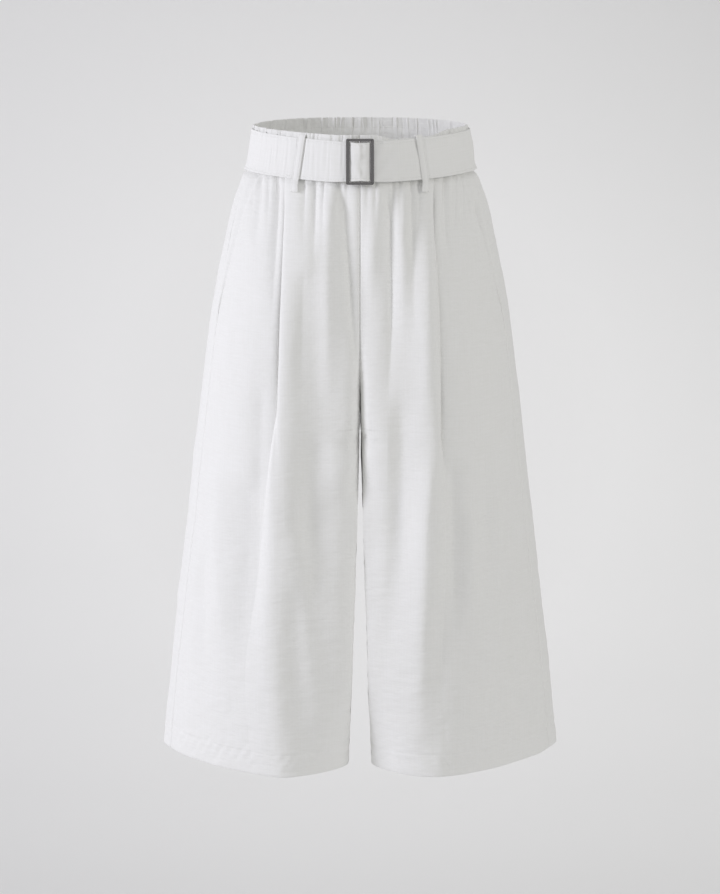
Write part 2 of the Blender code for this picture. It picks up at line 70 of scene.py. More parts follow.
camera_data = bpy.data.cameras.new("camera")
camera_data.lens = LENS
camera_data.sensor_width = 36.0
camera = add_object("camera", camera_data)
camera.location = CAMERA_PLACE
downwards = math.atan2(CAMERA_PLACE[2] - CAMERA_TARGET_Z, -CAMERA_PLACE[1])
camera.rotation_euler = (math.pi / 2 - downwards, 0.0, 0.0)
bpy.context.scene.camera = camera
print("camera looks down by", round(math.degrees(downwards), 2), "degrees")


# %% Colours and nodes
def from_hex(code):
    """An sRGB hex colour as linear red, green, blue and alpha."""
    parts = [int(code[i:i + 2], 16) / 255 for i in (1, 3, 5)]
    linear = [c / 12.92 if c <= 0.04045 else ((c + 0.055) / 1.055) ** 2.4 for c in parts]
    return (*linear, 1.0)


def add_node(tree, kind, settings=None, inputs=None):
    """Add a node; an input is a value, or another node's output to link."""
    node = tree.nodes.new(kind)
    for name, value in (settings or {}).items():
        setattr(node, name, value)
    for name, value in (inputs or {}).items():
        if isinstance(value, bpy.types.NodeSocket):
            tree.links.new(value, node.inputs[name])
        else:
            node.inputs[name].default_value = value
    return node


def new_material(name, base, roughness, metallic=0.0):
    """A named material, its node tree and its shader."""
    made = bpy.data.materials.new(name)
    made.use_nodes = True
    tree = made.node_tree
    shader = tree.nodes["Principled BSDF"]
    shader.inputs["Base Color"].default_value = from_hex(base)
    shader.inputs["Roughness"].default_value = roughness
    shader.inputs["Metallic"].default_value = metallic
    return made, tree, shader


# %% Studio
def studio_light(name, place, aim, size, power, colour):
    """A round area light that faces a point."""
    data = bpy.data.lights.new(name, "AREA")
    data.shape = "DISK"
    data.size = size
    data.energy = power
    data.color = from_hex(colour)[:3]
    light = add_object(name, data)
    light.location = place
    reach = [a - p for a, p in zip(aim, place)]
    flat = math.hypot(reach[0], reach[1])
    light.rotation_euler = (math.atan2(flat, -reach[2]), 0.0,
                            math.atan2(reach[1], reach[0]) - math.pi / 2)


FLOOR_Z = -1.30
WALL_Y = 1.60
MIDDLE = (0.0, 0.0, -0.33)  # of the garment
# white cloth keeps its own tones only with a plain view transform
bpy.context.scene.view_settings.view_transform = "Standard"
bpy.context.scene.cycles.diffuse_bounces = 10  # light reaches deep between white folds
studio_light("key_left", (-2.65, -1.05, 0.50), MIDDLE, 1.0, 40.0, "#f6f5ff")
studio_light("fill_right", (2.3, -1.7, 0.7), MIDDLE, 1.0, 15.0, "#fffdf8")
studio_light("backdrop_right", (1.05, 0.75, -0.75), (0.45, WALL_Y, -0.75), 0.8, 1.0, "#ffffff")

world = bpy.data.worlds.new("pale_room")
world.use_nodes = True
bpy.context.scene.world = world
background = world.node_tree.nodes["Background"]
background.inputs["Color"].default_value = from_hex("#f8f8f8")
background.inputs["Strength"].default_value = 0.52


# %% Backdrop
def deselect_all():
    """Operators act on all that is selected, and the frame's nodes start selected."""
    bpy.ops.object.select_all(action="DESELECT")


PAPER_WIDTH = 9.0
PAPER_LENGTH = 8.0
PAPER_CUTS = 39
SWEEP = 0.60  # radius where the floor turns up into the wall
# the paper's painted pool of light is palest at this height
PAINTED_LIGHT_Z = -0.60  # height at which the paper is palest

deselect_all()
bpy.ops.mesh.primitive_plane_add(size=1.0)
backdrop = bpy.context.object
backdrop.name = "paper_backdrop"
bpy.ops.object.mode_set(mode="EDIT")
bpy.ops.mesh.subdivide(number_cuts=PAPER_CUTS)
bpy.ops.object.mode_set(mode="OBJECT")
for vertex in backdrop.data.vertices:
    x, along = vertex.co.x * PAPER_WIDTH, vertex.co.y * PAPER_LENGTH
    start = WALL_Y - SWEEP
    turn = min(max((along - start) / (SWEEP * math.pi / 2), 0.0), 1.0) * math.pi / 2
    past = max(along - start - SWEEP * math.pi / 2, 0.0)
    y = min(along, start) + SWEEP * math.sin(turn)
    vertex.co = (x, y, FLOOR_Z + SWEEP * (1.0 - math.cos(turn)) + past)
bpy.ops.object.shade_smooth()
paper, paper_tree, paper_shader = new_material("matt_backdrop_paper", "#f7f7f7", 0.95)
paper_shader.inputs["Specular IOR Level"].default_value = 0.1
# painted light: a pool of light is painted into the paper's colour, palest behind the garment and
# darker away from it
place = add_node(paper_tree, "ShaderNodeTexCoord").outputs["Object"]
painted_light_distance = add_node(paper_tree, "ShaderNodeVectorMath", {"operation": "DISTANCE"},
                {0: place, 1: (0.0, WALL_Y, PAINTED_LIGHT_Z)}).outputs["Value"]
# painted light: the ramp runs from the pale middle of the painted pool to the darker paper round it
shade = add_node(paper_tree, "ShaderNodeValToRGB", inputs={"Fac": painted_light_distance})
for stop, position, tone in zip(shade.color_ramp.elements, (0.45, 1.0), ("#fafaf9", "#e9e9e8")):
    stop.position = position
    stop.color = from_hex(tone)
paper_tree.links.new(shade.outputs["Color"], paper_shader.inputs["Base Color"])
backdrop.data.materials.append(paper)
print("studio ready")

# %% [markdown]
# ## The shape of the garment
# Half of the garment is described by its outline at a few heights. Below the crotch
# each outline closes round one leg. Above it the two legs' tubes run into each other
# and are cut off in the middle, which makes the curved centre seams. Distances along
# an outline are real distances on the cloth, so folds keep their width round the body.

# %% Sizes that the frame's solids were built from
WAIST_SEAM_Z = -0.0123  # where the waistband meets the panels, behind the belt
HEADER_Z = 0.0277  # frilled upper edge of the waistband
HEADER_BACK_DROP = 0.0040  # how much lower that edge is sewn at the back
HEADER_DIP = 0.0050  # how far the belt has pushed it down on the left front
WAIST_LIFT = 0.0120  # how much higher the whole waist lies at the back
WAIST_LIFT_END_Z = -0.12  # the rows of cloth are level from here down
CROTCH_Z = -0.295  # where the four panels meet
CURVE_Z = -0.215  # where the straight centre seams start to curve
CROTCH_Y = 0.018  # front-to-back place of the point between the legs
BEND_RAMP = 0.030  # depth below the crotch over which the inner faces start
BEND_FULL = 0.030  # length between the legs at which it gets its own columns
FLAT_FRONT = 0.998  # how nearly the centre seam reaches the greatest depth
HEM_Z = -0.688  # lower edge of both legs
POCKET_LOW_Z = -0.208  # lower end of the slanted pocket mouth
POCKET_MOUTH = 0.0105  # how far forward of the side seam the mouth starts
POCKET_BAG_Z = -0.262  # lower edge of the pocket bag
POCKET_BAG_X = 0.096  # inner edge of the pocket bag
POCKET_DEPTH = 0.0026  # how far the pocket bag lies behind the front panel
BELT_HALF = 0.0222  # half the height of the belt
BELT_TIP = 460.0  # degrees round the waist at which its free end stops
STRAP = 0.0014  # wall of the belt
STRAP_UNDER = 0.0052  # distance of the belt from the section, in one layer
STRAP_OVER = 0.0073  # and where it lies over its own start
STRAP_HUMP = 0.0046  # how much further out it goes over the crossbar
WAIST_DEGREE = 0.0018  # length of one degree round the waist
LOOP_FRONT = (0.0600, 0.0690)  # distance of a front loop to the side, top and foot
LOOP_BACK = (0.0700, 0.0730)  # and of a back loop
BUCKLE_WIDTH = 0.0305
BUCKLE_HEIGHT = 0.0500
BUCKLE_PLATE = 0.0024  # thickness of the frame
BUCKLE_OUT = 0.0084  # distance of the frame's back from the section
CROSSBAR = 0.0009  # radius of the bar that the strap goes over

# %% Sizes of the finer model
POCKET_FLUSH = 0.0026  # a mouth narrower than this leaves the pocket behind
CROSSBAR_SPAN = 6.3  # degrees on each side over which the strap clears the bar
FORK_X = 0.030  # cloth nearer to the middle than this turns in
APART = 0.0005  # the legs' inner faces start this far from the middle
APART_RAMP = 0.010  # depth over which they move on to their own places
APART_FADE = 0.030  # height above the crotch over which that gap closes
CENTRE_ROLL = 0.004  # width over which the cloth turns in at the centre seams
CENTRE_CLEAR = 0.0005  # how far the cloth at the middle keeps to its own half
GRAIN_X = 0.090  # the threads are measured from the line down this place
LOOP_WIDTH = 0.0086
LOOP_TOP_Z = 0.0250  # a loop's slant is stated between these two heights
LOOP_FOOT_Z = -0.0350
LOOP_OVER_TWO = 0.0087  # distance from the section on two layers of the belt
LOOP_OVER_ONE = 0.0067  # and on one layer
LOOP_WALL = 0.0009
BUCKLE_BAR = 0.0035  # width of the frame's upright bars
BUCKLE_RAIL = 0.0029  # width of its top and bottom
BUCKLE_CORNER = 0.0020
BUCKLE_BEVEL = 0.0012

# %% Sections of one half
# width: of the half; the x and y of its foremost, rearmost and inner points; centre_y
# and rear_y: where the straight centre seams lie; square: how boxy each corner is, 2
# being an ellipse; seam_inset: distance of the side seam from the widest point
Section = namedtuple("Section", "z width side_y front_x front_y centre_y back_x back_y rear_y "
                                "inner_x inner_y inner_square front_square back_square "
                                "seam_inset")
SECTIONS = [Section(*row) for row in (
    (.036, .1145, .006, .012, -.093, -.093, .012, .088, .088, .0, -.004, 5.0, 1.45, 2.0, .003),
    (.0, .1196, .006, .012, -.0965, -.0965, .012, .0915, .0915, .0, -.004, 5.0, 1.45, 2.0, .003),
    (-.0225, .1243, .006, .014, -.0985, -.0985, .014, .0935, .0935, .0, -.004, 5.0, 1.45, 2.0,
     .004),
    (-.0275, .1308, .006, .016, -.1022, -.101, .02, .098, .097, .0, -.004, 5.0, 1.45, 2.0, .0045),
    (-.034, .1342, .005, .018, -.104, -.1025, .028, .101, .099, .0, -.004, 5.0, 1.45, 2.0, .005),
    (-.06, .144, .004, .032, -.1075, -.1045, .046, .108, .105, .0, -.004, 5.0, 1.5, 2.05, .006),
    (-.105, .1553, .004, .05, -.1115, -.1055, .060, .118, .112, .0, -.004, 5.0, 1.58, 2.05, .007),
    (-.165, .167, .004, .066, -.115, -.106, .072, .126, .118, .0, -.004, 5.0, 1.65, 2.05, .008),
    (-.215, .1745, .005, .076, -.117, -.106, .08, .129, .119, .0, -.004, 8.0, 1.68, 2.0, .009),
    (-.295, .1845, .006, .086, -.119, -.106, .09, .128, .119, .0013, -.020, 11.0, 1.65, 1.95,
     .0098),
    (-.37, .1935, .008, .091, -.121, -.106, .096, .125, .119, .0029, -.100, 2.0, 1.6, 1.9, .01),
    (-.46, .2045, .01, .093, -.124, -.106, .1, .122, .119, .0055, -.104, 1.7, 1.55, 1.85, .0098),
    (-.575, .218, .012, .094, -.1275, -.106, .104, .12, .119, .0092, -.105, 1.6, 1.48, 1.8, .009),
    (-.688, .23, .014, .088, -.131, -.106, .108, .118, .119, .0129, -.079, 1.5, 1.42, 1.75, .009),
)]

# %% The pleats
# x: place of the folded edge; overlap: how far the edge lies over the cloth beyond
# it, less than nothing once the pleat has opened; rise: height of the edge above it
Pleat = namedtuple("Pleat", "z x overlap rise")
PLEAT_RIGHT = [
    Pleat(0.0000, .0800, .024, .0036),
    Pleat(-.0500, .0835, .023, .0037),
    Pleat(-.1200, .0860, .018, .0048),
    Pleat(-.2000, .0885, .010, .0062),
    Pleat(-.2700, .0905, .000, .0076),
    Pleat(-.3600, .0925, -.012, .0086),
    Pleat(-.4600, .0950, -.022, .0078),
    Pleat(-.5700, .1000, -.032, .0056),
    Pleat(-.6880, .0880, -.036, .0030),
]
PLEAT_LEFT = [
    Pleat(0.0000, .0780, .024, .0036),
    Pleat(-.0500, .0815, .023, .0037),
    Pleat(-.1200, .0850, .019, .0048),
    Pleat(-.2000, .0875, .013, .0064),
    Pleat(-.2700, .0885, .004, .0080),
    Pleat(-.3600, .0870, -.007, .0094),
    Pleat(-.4600, .0790, -.016, .0090),
    Pleat(-.5700, .0680, -.024, .0068),
    Pleat(-.6880, .0700, -.030, .0032),
]
PLEAT_LEAD = 0.008  # cloth before the folded edge that stays flat
PLEAT_RAMP = 0.040  # width over which the cloth climbs to the folded edge
PLEAT_SHUT = 0.004  # overlap from which the pleat counts as fully shut
PLEAT_OPEN = 0.012  # and the gap from which it counts as fully open
TURN = 0.0010  # radius of the folded edges
CREST_TURN = 0.0055  # how much rounder the crest is where the pleat has opened


# %% Reading the tables
def smooth(t):
    """Ease from 0 to 1; works on numbers and on arrays."""
    t = np.clip(t, 0.0, 1.0)
    return t * t * (3.0 - 2.0 * t)


def read(table, z):
    """The table's row at height z, on smooth curves through its rows."""
    heights = [row.z for row in table]
    z = min(max(z, heights[-1]), heights[0])
    low = next(i for i in range(1, len(table)) if z >= heights[i])
    above, below = table[low - 1], table[low]
    span = below.z - above.z
    t = (z - above.z) / span
    before = table[max(low - 2, 0)]
    after = table[min(low + 1, len(table) - 1)]
    values = []
    for a, p, q, b in zip(before, above, below, after):
        slope_p = (q - a) / (below.z - before.z) * span
        slope_q = (b - p) / (after.z - above.z) * span
        values.append(p * (1 + 2 * t) * (1 - t) ** 2 + slope_p * t * (1 - t) ** 2
                      + q * t * t * (3 - 2 * t) + slope_q * t * t * (t - 1))
    return type(above)(*values)


# %% Outlines
def corner(start, end, square, turned, steps=90):
    """A quarter of a rounded outline; turned says that it leaves start along Y."""
    angle = np.linspace(0.0, math.pi / 2, steps)
    cosine, sine = np.cos(angle), np.sin(angle)
    reach = (cosine ** square + sine ** square) ** (-1.0 / square)
    rising, falling = reach * sine, 1.0 - reach * cosine
    along_x, along_y = (falling, rising) if turned else (rising, falling)
    return np.stack([start[0] + (end[0] - start[0]) * along_x,
                     start[1] + (end[1] - start[1]) * along_y], axis=1)


def seam_y(z, level, front):
    """Front-to-back place of the centre seam, which curves in to the crotch point."""
    top_y = level.centre_y if front else level.rear_y
    drop = min(max((CURVE_Z - z) / (CURVE_Z - CROTCH_Z), 0.0), 1.0)
    return top_y + (CROTCH_Y - top_y) * (1.0 - math.sqrt(1.0 - drop * drop))


def inner_corner(z, level, extreme, front, bend):
    """The outline from the middle, or the inner leg seam, to the front or back."""
    if z <= CROTCH_Z:
        apart = APART + (level.inner_x - APART) * float(smooth((CROTCH_Z - z) / APART_RAMP))
        turned = corner((apart, CROTCH_Y - bend), extreme, level.inner_square, True)
        return np.concatenate([[(apart, CROTCH_Y)], turned]) if bend else turned
    depth = min((seam_y(z, level, front) - CROTCH_Y) / (extreme[1] - CROTCH_Y), FLAT_FRONT)
    square = level.inner_square
    reach = max(1.0 - depth ** square, 0.0) ** (1.0 / square)
    tube = corner((extreme[0] * (1.0 - 1.0 / reach), CROTCH_Y), extreme, square, True)
    kept = tube[tube[:, 0] > 0.0]
    kept = np.concatenate([[(0.0, np.interp(0.0, tube[:, 0], tube[:, 1]))], kept])
    shift = APART * smooth(1.0 - (z - CROTCH_Z) / APART_FADE)
    kept[:, 0] += shift * (1.0 - kept[:, 0] / extreme[0])
    return kept


class Outline:
    """Half of the garment's outline at height z, front or back, from the inner edge."""

    def __init__(self, z, front):
        level = read(SECTIONS, z)
        self.z, self.front = z, front
        self.seam_x = level.width - level.seam_inset
        opened = float(smooth((CROTCH_Z - z) / BEND_RAMP))
        self.bend = (CROTCH_Y - level.inner_y) * opened if front else 0.0
        side = (level.width, level.side_y)
        foremost, rearmost = (level.front_x, level.front_y), (level.back_x, level.back_y)
        extreme = foremost if front else rearmost
        square = level.front_square if front else level.back_square
        near = inner_corner(z, level, extreme, front, self.bend)
        line = np.concatenate([near, corner(extreme, side, square, False)[1:]])
        self.side_index = len(line)
        if not front:
            line = np.concatenate([line, corner(side, foremost, level.front_square, True)[1:]])
        self.line = line
        self.where = np.concatenate([[0.0], np.cumsum(np.hypot(*np.diff(line, axis=0).T))])
        if front:
            self.seam = self.at_x(self.seam_x)
        else:
            tail = slice(self.side_index - 1, len(line))
            self.seam = float(np.interp(-self.seam_x, -line[tail, 0], self.where[tail]))
        self.grain = self.at_x(GRAIN_X)

    def at_x(self, x):
        """The distance along the outline at which it reaches x."""
        reached = slice(0, self.side_index)
        return float(np.interp(x, self.line[reached, 0], self.where[reached]))

    def spot(self, distance):
        """The points at distances along the outline."""
        return np.stack([np.interp(distance, self.where, self.line[:, 0]),
                         np.interp(distance, self.where, self.line[:, 1])], axis=-1)

    def outward(self, distance, reach=0.003):
        """The outward directions at distances along the outline."""
        before = self.spot(np.maximum(distance - reach, 0.0))
        after = self.spot(np.minimum(distance + reach, self.where[-1]))
        step = after - before
        step = step / np.linalg.norm(step, axis=-1, keepdims=True)
        turned = np.stack([step[..., 1], -step[..., 0]], axis=-1)
        return turned if self.front else -turned


@lru_cache(maxsize=None)
def outline_at(z, front):
    return Outline(z, front)


def lift(y, z):
    """The waist lies higher at the back than at the front."""
    backness = np.clip(0.5 + y / 0.2, 0.0, 1.0)
    return WAIST_LIFT * backness * smooth((z - WAIST_LIFT_END_Z) / -WAIST_LIFT_END_Z)


def placed(outline, distance, push):
    """Points of a half, pushed out from the outline and kept clear of the middle."""
    out = outline.outward(distance)
    if outline.z > CROTCH_Z:  # the cloth turns straight in at the centre seams
        out[..., 0] *= smooth(distance / CENTRE_ROLL)
    flat = outline.spot(distance) + out * np.expand_dims(push, -1)
    x = np.maximum(flat[..., 0], CENTRE_CLEAR * (0.1 + np.abs(out[..., 0])))
    y = flat[..., 1]
    return np.stack([x, y, outline.z + lift(y, outline.z)], axis=-1)


def on_cloth(outline, distance, z):
    """Where points of a half lie on the flat cloth."""
    return np.stack([distance - outline.grain, np.full_like(distance, z)], axis=1)


def mouth_at(outline):
    """The pocket mouth, a slant that meets the side seam at its lower end."""
    slant = float(smooth((outline.z - POCKET_LOW_Z) / (WAIST_SEAM_Z - POCKET_LOW_Z)))
    return outline.at_x(outline.seam_x - POCKET_MOUTH * slant)


print("hem outline is", round(2 * outline_at(HEM_Z, True).where[-1], 3), "m long in front")

# %% [markdown]
# ## Folds
# Linen holds soft, uneven creases. Each large one is a row in a table: where it starts
# and ends, how far it bows sideways, how wide and deep it is. A depth below nothing is
# a trough, above nothing a ridge. Smaller ones follow from the seams: short gathers
# under the waist, puckers along stitched edges, and a faint rumple all over.

# %% Fold tables
Fold = namedtuple("Fold", "x_top z_top x_low z_low bow width depth")
FRONT_RIGHT_FOLDS = [
    Fold(.0215, -.014, .0020, -.250, -.002, .0085, -.0066),
    Fold(.0480, -.012, .0500, -.125, .001, .0070, -.0042),
    Fold(.0350, -.018, .0330, -.290, .002, .0100, .0042),
    Fold(.0600, -.110, .0640, -.300, .003, .0120, -.0034),
    Fold(.0925, -.014, .0970, -.190, .000, .0065, -.0036),
    Fold(.1135, -.014, .1160, -.110, .000, .0080, -.0026),
    Fold(.1250, -.340, .1400, -.610, -.004, .0170, -.0050),
    Fold(.1600, -.330, .1500, -.600, .004, .0190, .0036),
    Fold(.0680, -.390, .0420, -.720, .002, .0150, .0040),
    Fold(.0500, -.290, .0560, -.520, .004, .0150, -.0036),
    Fold(.0240, -.300, .0260, -.640, .000, .0150, .0026),
    Fold(.0740, -.460, .0640, -.700, .000, .0150, -.0024),
    Fold(.1760, -.420, .1800, -.660, .000, .0140, -.0022),
    Fold(.0830, -.005, .0950, -.400, .000, .0035, -.0044),
    Fold(.1090, -.220, .1200, -.650, .000, .0110, -.0030),
]
FRONT_LEFT_FOLDS = [
    Fold(.0300, -.014, .0280, -.290, .006, .0080, -.0072),
    Fold(.0200, -.016, .0110, -.170, -.001, .0085, .0040),
    Fold(.0430, -.018, .0470, -.210, .001, .0095, .0046),
    Fold(.0580, -.060, .0600, -.200, .000, .0085, -.0032),
    Fold(.0945, -.014, .0990, -.125, .000, .0075, -.0034),
    Fold(.1310, -.040, .1400, -.150, .000, .0110, -.0030),
    Fold(.1020, -.320, .1040, -.560, .002, .0110, -.0054),
    Fold(.0770, -.310, .0640, -.700, .002, .0140, .0076),
    Fold(.1260, -.380, .1240, -.560, .000, .0150, .0040),
    Fold(.1560, -.340, .1600, -.600, -.003, .0170, .0038),
    Fold(.0460, -.250, .0420, -.520, .002, .0130, -.0030),
    Fold(.0260, -.260, .0260, -.560, .003, .0120, .0028),
    Fold(.1400, -.300, .1420, -.540, .000, .0140, -.0026),
    Fold(.1760, -.460, .1820, -.670, .000, .0150, -.0024),
    Fold(.0812, -.005, .0925, -.420, .000, .0038, -.0066),
    Fold(.0720, -.060, .0740, -.340, .000, .0110, .0036),
]
BACK_RIGHT_FOLDS = [
    Fold(.0280, -.014, .0240, -.140, .000, .0090, -.0032),
    Fold(.0580, -.012, .0640, -.190, .003, .0100, -.0040),
    Fold(.0900, -.012, .0980, -.130, .000, .0100, -.0032),
    Fold(.1180, -.012, .1240, -.090, .000, .0090, -.0026),
    Fold(.0740, -.040, .0800, -.230, .002, .0120, .0026),
    Fold(.0600, -.250, .0700, -.660, .004, .0200, -.0056),
    Fold(.1240, -.230, .1400, -.640, -.004, .0200, -.0050),
    Fold(.0940, -.300, .1020, -.690, .003, .0200, .0050),
    Fold(.0260, -.320, .0300, -.620, .000, .0150, .0028),
    Fold(.1600, -.300, .1720, -.600, .000, .0180, .0030),
]
BACK_LEFT_FOLDS = [
    Fold(.0220, -.012, .0260, -.120, .000, .0090, -.0030),
    Fold(.0520, -.014, .0540, -.180, -.002, .0110, -.0036),
    Fold(.0860, -.012, .0900, -.150, .000, .0095, -.0036),
    Fold(.1140, -.012, .1200, -.110, .000, .0090, -.0028),
    Fold(.0700, -.050, .0700, -.210, .000, .0120, .0024),
    Fold(.0660, -.280, .0600, -.680, -.004, .0190, -.0050),
    Fold(.1260, -.250, .1300, -.620, .004, .0210, -.0052),
    Fold(.0980, -.330, .0900, -.680, .000, .0190, .0044),
    Fold(.0300, -.300, .0260, -.600, .000, .0150, .0026),
    Fold(.1640, -.320, .1640, -.580, .000, .0180, .0028),
]

# short gathers straight under the belt: place, half width, depth and length
Gather = namedtuple("Gather", "x width depth length")
FRONT_RIGHT_GATHERS = [
    Gather(.0140, .0028, .0016, .070), Gather(.0227, .0026, .0022, .080),
    Gather(.0405, .0030, .0024, .110), Gather(.0512, .0028, .0022, .085),
    Gather(.0614, .0032, .0022, .100), Gather(.0943, .0036, .0026, .110),
    Gather(.1030, .0030, .0020, .080), Gather(.1120, .0034, .0018, .090),
    Gather(.1210, .0026, .0016, .070),
]
FRONT_LEFT_GATHERS = [
    Gather(.0080, .0028, .0014, .070), Gather(.0166, .0028, .0022, .085),
    Gather(.0374, .0030, .0024, .100), Gather(.0439, .0026, .0020, .075),
    Gather(.0571, .0034, .0028, .120), Gather(.0647, .0026, .0018, .080),
    Gather(.0964, .0034, .0020, .120), Gather(.1060, .0030, .0036, .095),
    Gather(.1150, .0032, .0034, .100), Gather(.1220, .0026, .0026, .080),
]


# %% Fold helpers
FOLD_START = 0.14  # share of a fold's length over which it starts
FOLD_END = 0.55  # and over which it dies out
SHARP_FOLD = 1.25  # exponents of a sharp trough and of a soft fold
SOFT_FOLD = 1.8
GATHER_SPREAD = 9.0  # how many times wider a gather gets with each metre down
GATHER_STRENGTH = 1.9  # of the depths in the tables
SHARP_GATHER = 1.2  # exponent of gathers and creases


def folds_at(outline, folds, distance):
    """How far the large folds push the cloth out."""
    push = np.zeros_like(distance)
    for fold in folds:
        t = (fold.z_top - outline.z) / (fold.z_top - fold.z_low)
        if not 0.0 < t < 1.0:
            continue
        x = fold.x_top + (fold.x_low - fold.x_top) * t + 4.0 * fold.bow * t * (1.0 - t)
        off = (distance - outline.at_x(x)) / fold.width
        fade = smooth(t / FOLD_START) * smooth((1.0 - t) / FOLD_END)
        power = SHARP_FOLD if fold.depth < 0 and fold.z_top > CURVE_Z else SOFT_FOLD
        push += fold.depth * fade * np.exp(-np.abs(off) ** power)
    return push


def gathers_at(outline, gathers, distance):
    """Short troughs that start at the waist seam and die out below it."""
    push = np.zeros_like(distance)
    below = WAIST_SEAM_Z - outline.z
    for gather in gathers:
        fade = float(smooth(1.0 - below / gather.length))
        if fade > 0.0:
            width = gather.width * (1.0 + GATHER_SPREAD * below)
            off = (distance - outline.at_x(gather.x)) / width
            push -= GATHER_STRENGTH * gather.depth * fade * np.exp(-np.abs(off) ** SHARP_GATHER)
    return push


def rumple(across, down, size_across, size_down, seed):
    """Smooth seeded noise between about -1 and 1 over two distances on the cloth."""
    rows, columns = 97, 101
    table = np.random.default_rng(seed).uniform(-1.0, 1.0, (rows, columns))
    u, v = across / size_across + 500.0, down / size_down + 500.0
    i, j = np.floor(u).astype(int), np.floor(v).astype(int)
    a, b = smooth(u - i), smooth(v - j)
    i0, i1, j0, j1 = i % rows, (i + 1) % rows, j % columns, (j + 1) % columns
    top = table[i0, j0] * (1 - a) + table[i1, j0] * a
    low = table[i0, j1] * (1 - a) + table[i1, j1] * a
    return top * (1 - b) + low * b


def gathered(along, down, seed):
    """Sharp troughs and round ridges of gathered cloth, from about -1 to 1."""
    fine = rumple(along, down, 0.0050, 0.060, seed)
    broad = rumple(along, down, 0.0125, 0.090, seed + 1)
    return 1.25 * np.abs(0.55 * fine + 0.6 * broad) ** 0.4 - 0.6


def creases(along, seed):
    """Thin sharp creases, inwards and outwards, at uneven places along a gathered edge."""
    rng, count = np.random.default_rng(seed), 150
    places = -0.40 + np.cumsum(rng.uniform(0.0030, 0.0125, count))
    depths = rng.uniform(-1.0, 1.0, count)
    widths = rng.uniform(0.7, 1.3, count) * MM
    push = np.zeros_like(along)
    for place, depth, width in zip(places, depths, widths):
        push += depth * np.exp(-np.abs((along - place) / width) ** SHARP_GATHER)
    return push


def seam_pucker(along, off, reach, pitch, height, seed):
    """Small waves that a sewn line pulls into the cloth beside it."""
    level = np.zeros_like(off)
    phase = 2.2 * rumple(along, level, pitch * 3.0, 1.0, seed)
    size = 0.55 + 0.45 * rumple(along, level, pitch * 5.0, 1.0, seed + 1)
    wave = np.sin(2 * np.pi * along / pitch + phase)
    return height * size * wave * np.exp(-(off / reach) ** 2)


print("folds:", sum(len(t) for t in (FRONT_RIGHT_FOLDS, FRONT_LEFT_FOLDS,
                                    BACK_RIGHT_FOLDS, BACK_LEFT_FOLDS)))

# %% [markdown]
# ## Linen and gunmetal
# The cloth is an off-white linen blend in plain weave. It is matt, with a faint lustre
# at grazing angles. Uneven yarn gives long slubs along and across, and the cloth keeps
# countless small creases. All patterns read a UV map in metres of cloth, so they run
# with the threads of each piece.

# %% Linen
THREAD = 1.1 * MM  # real threads lie about 0.5 mm apart, too fine to show
WARP_SLUB = (1.5 * MM, 45 * MM)
WEFT_SLUB = (38 * MM, 1.4 * MM)
SMALL_CREASE = (15 * MM, 6 * MM)
FINE_CREASE = (9 * MM, 2.6 * MM)


def linen(name, crease_height):
    """Plain-woven linen; crease_height is the depth of its small creases in metres."""
    made, tree, shader = new_material(name, "#f0f0ee", 0.88)
    shader.inputs["Specular IOR Level"].default_value = 0.25
    shader.inputs["Sheen Weight"].default_value = 0.12
    shader.inputs["Sheen Roughness"].default_value = 0.5
    flat = add_node(tree, "ShaderNodeUVMap", {"uv_map": "UVMap"}).outputs["UV"]

    def streaks(size, detail):
        scale = (1 / size[0], 1 / size[1], 1.0)
        spread = add_node(tree, "ShaderNodeMapping", inputs={"Vector": flat, "Scale": scale})
        return add_node(tree, "ShaderNodeTexNoise", {"noise_dimensions": "2D"},
                        {"Vector": spread.outputs["Vector"], "Scale": 1.0,
                         "Detail": detail}).outputs["Fac"]

    def math_node(operation, first, second):
        return add_node(tree, "ShaderNodeMath", {"operation": operation},
                        {0: first, 1: second}).outputs["Value"]

    threads = [add_node(tree, "ShaderNodeTexWave", {"bands_direction": axis},
                        {"Vector": flat, "Scale": math.pi / (10 * THREAD)}).outputs["Fac"]
               for axis in ("X", "Y")]
    weave = math_node("MULTIPLY", *threads)
    slubs = math_node("ADD", streaks(WARP_SLUB, 1.0), streaks(WEFT_SLUB, 1.0))
    tint = add_node(tree, "ShaderNodeValToRGB", inputs={"Fac": math_node("MULTIPLY", slubs, 0.5)})
    tint.color_ramp.elements[0].position = 0.30
    tint.color_ramp.elements[0].color = from_hex("#f0f0ee")
    tint.color_ramp.elements[1].position = 0.70
    tint.color_ramp.elements[1].color = from_hex("#f3f3f2")
    tree.links.new(tint.outputs["Color"], shader.inputs["Base Color"])

    normal = None
    for height, depth in ((streaks(SMALL_CREASE, 2.0), crease_height),
                          (streaks(FINE_CREASE, 1.0), crease_height * 0.35),
                          (slubs, 0.028 * MM), (weave, 0.02 * MM)):
        inputs = {"Height": height, "Distance": depth, "Strength": 1.0}
        if normal is not None:
            inputs["Normal"] = normal
        normal = add_node(tree, "ShaderNodeBump", inputs=inputs).outputs["Normal"]
    tree.links.new(normal, shader.inputs["Normal"])
    return made


panel_linen = linen("off_white_linen_worn", 0.6 * MM)
strap_linen = linen("off_white_linen_interlined", 0.25 * MM)
thread_white = new_material("white_polyester_thread", "#f3f3f1", 0.6)[0]

# %% [markdown]
# ## Sheets of cloth
# Each piece of cloth is a grid whose columns run round the body and whose rows run up
# from the hem. A grid keeps the threads straight, and its points follow formulas, so
# that a fold can be moved by changing one row of a table. Solidify then gives the
# wall, equally on both sides.

# %% Sheet helpers
WALL = 0.8 * MM
SMOOTH_ANGLE = math.radians(50)
HALVES = {"left": 1, "right": -1}  # the right half mirrors the left one


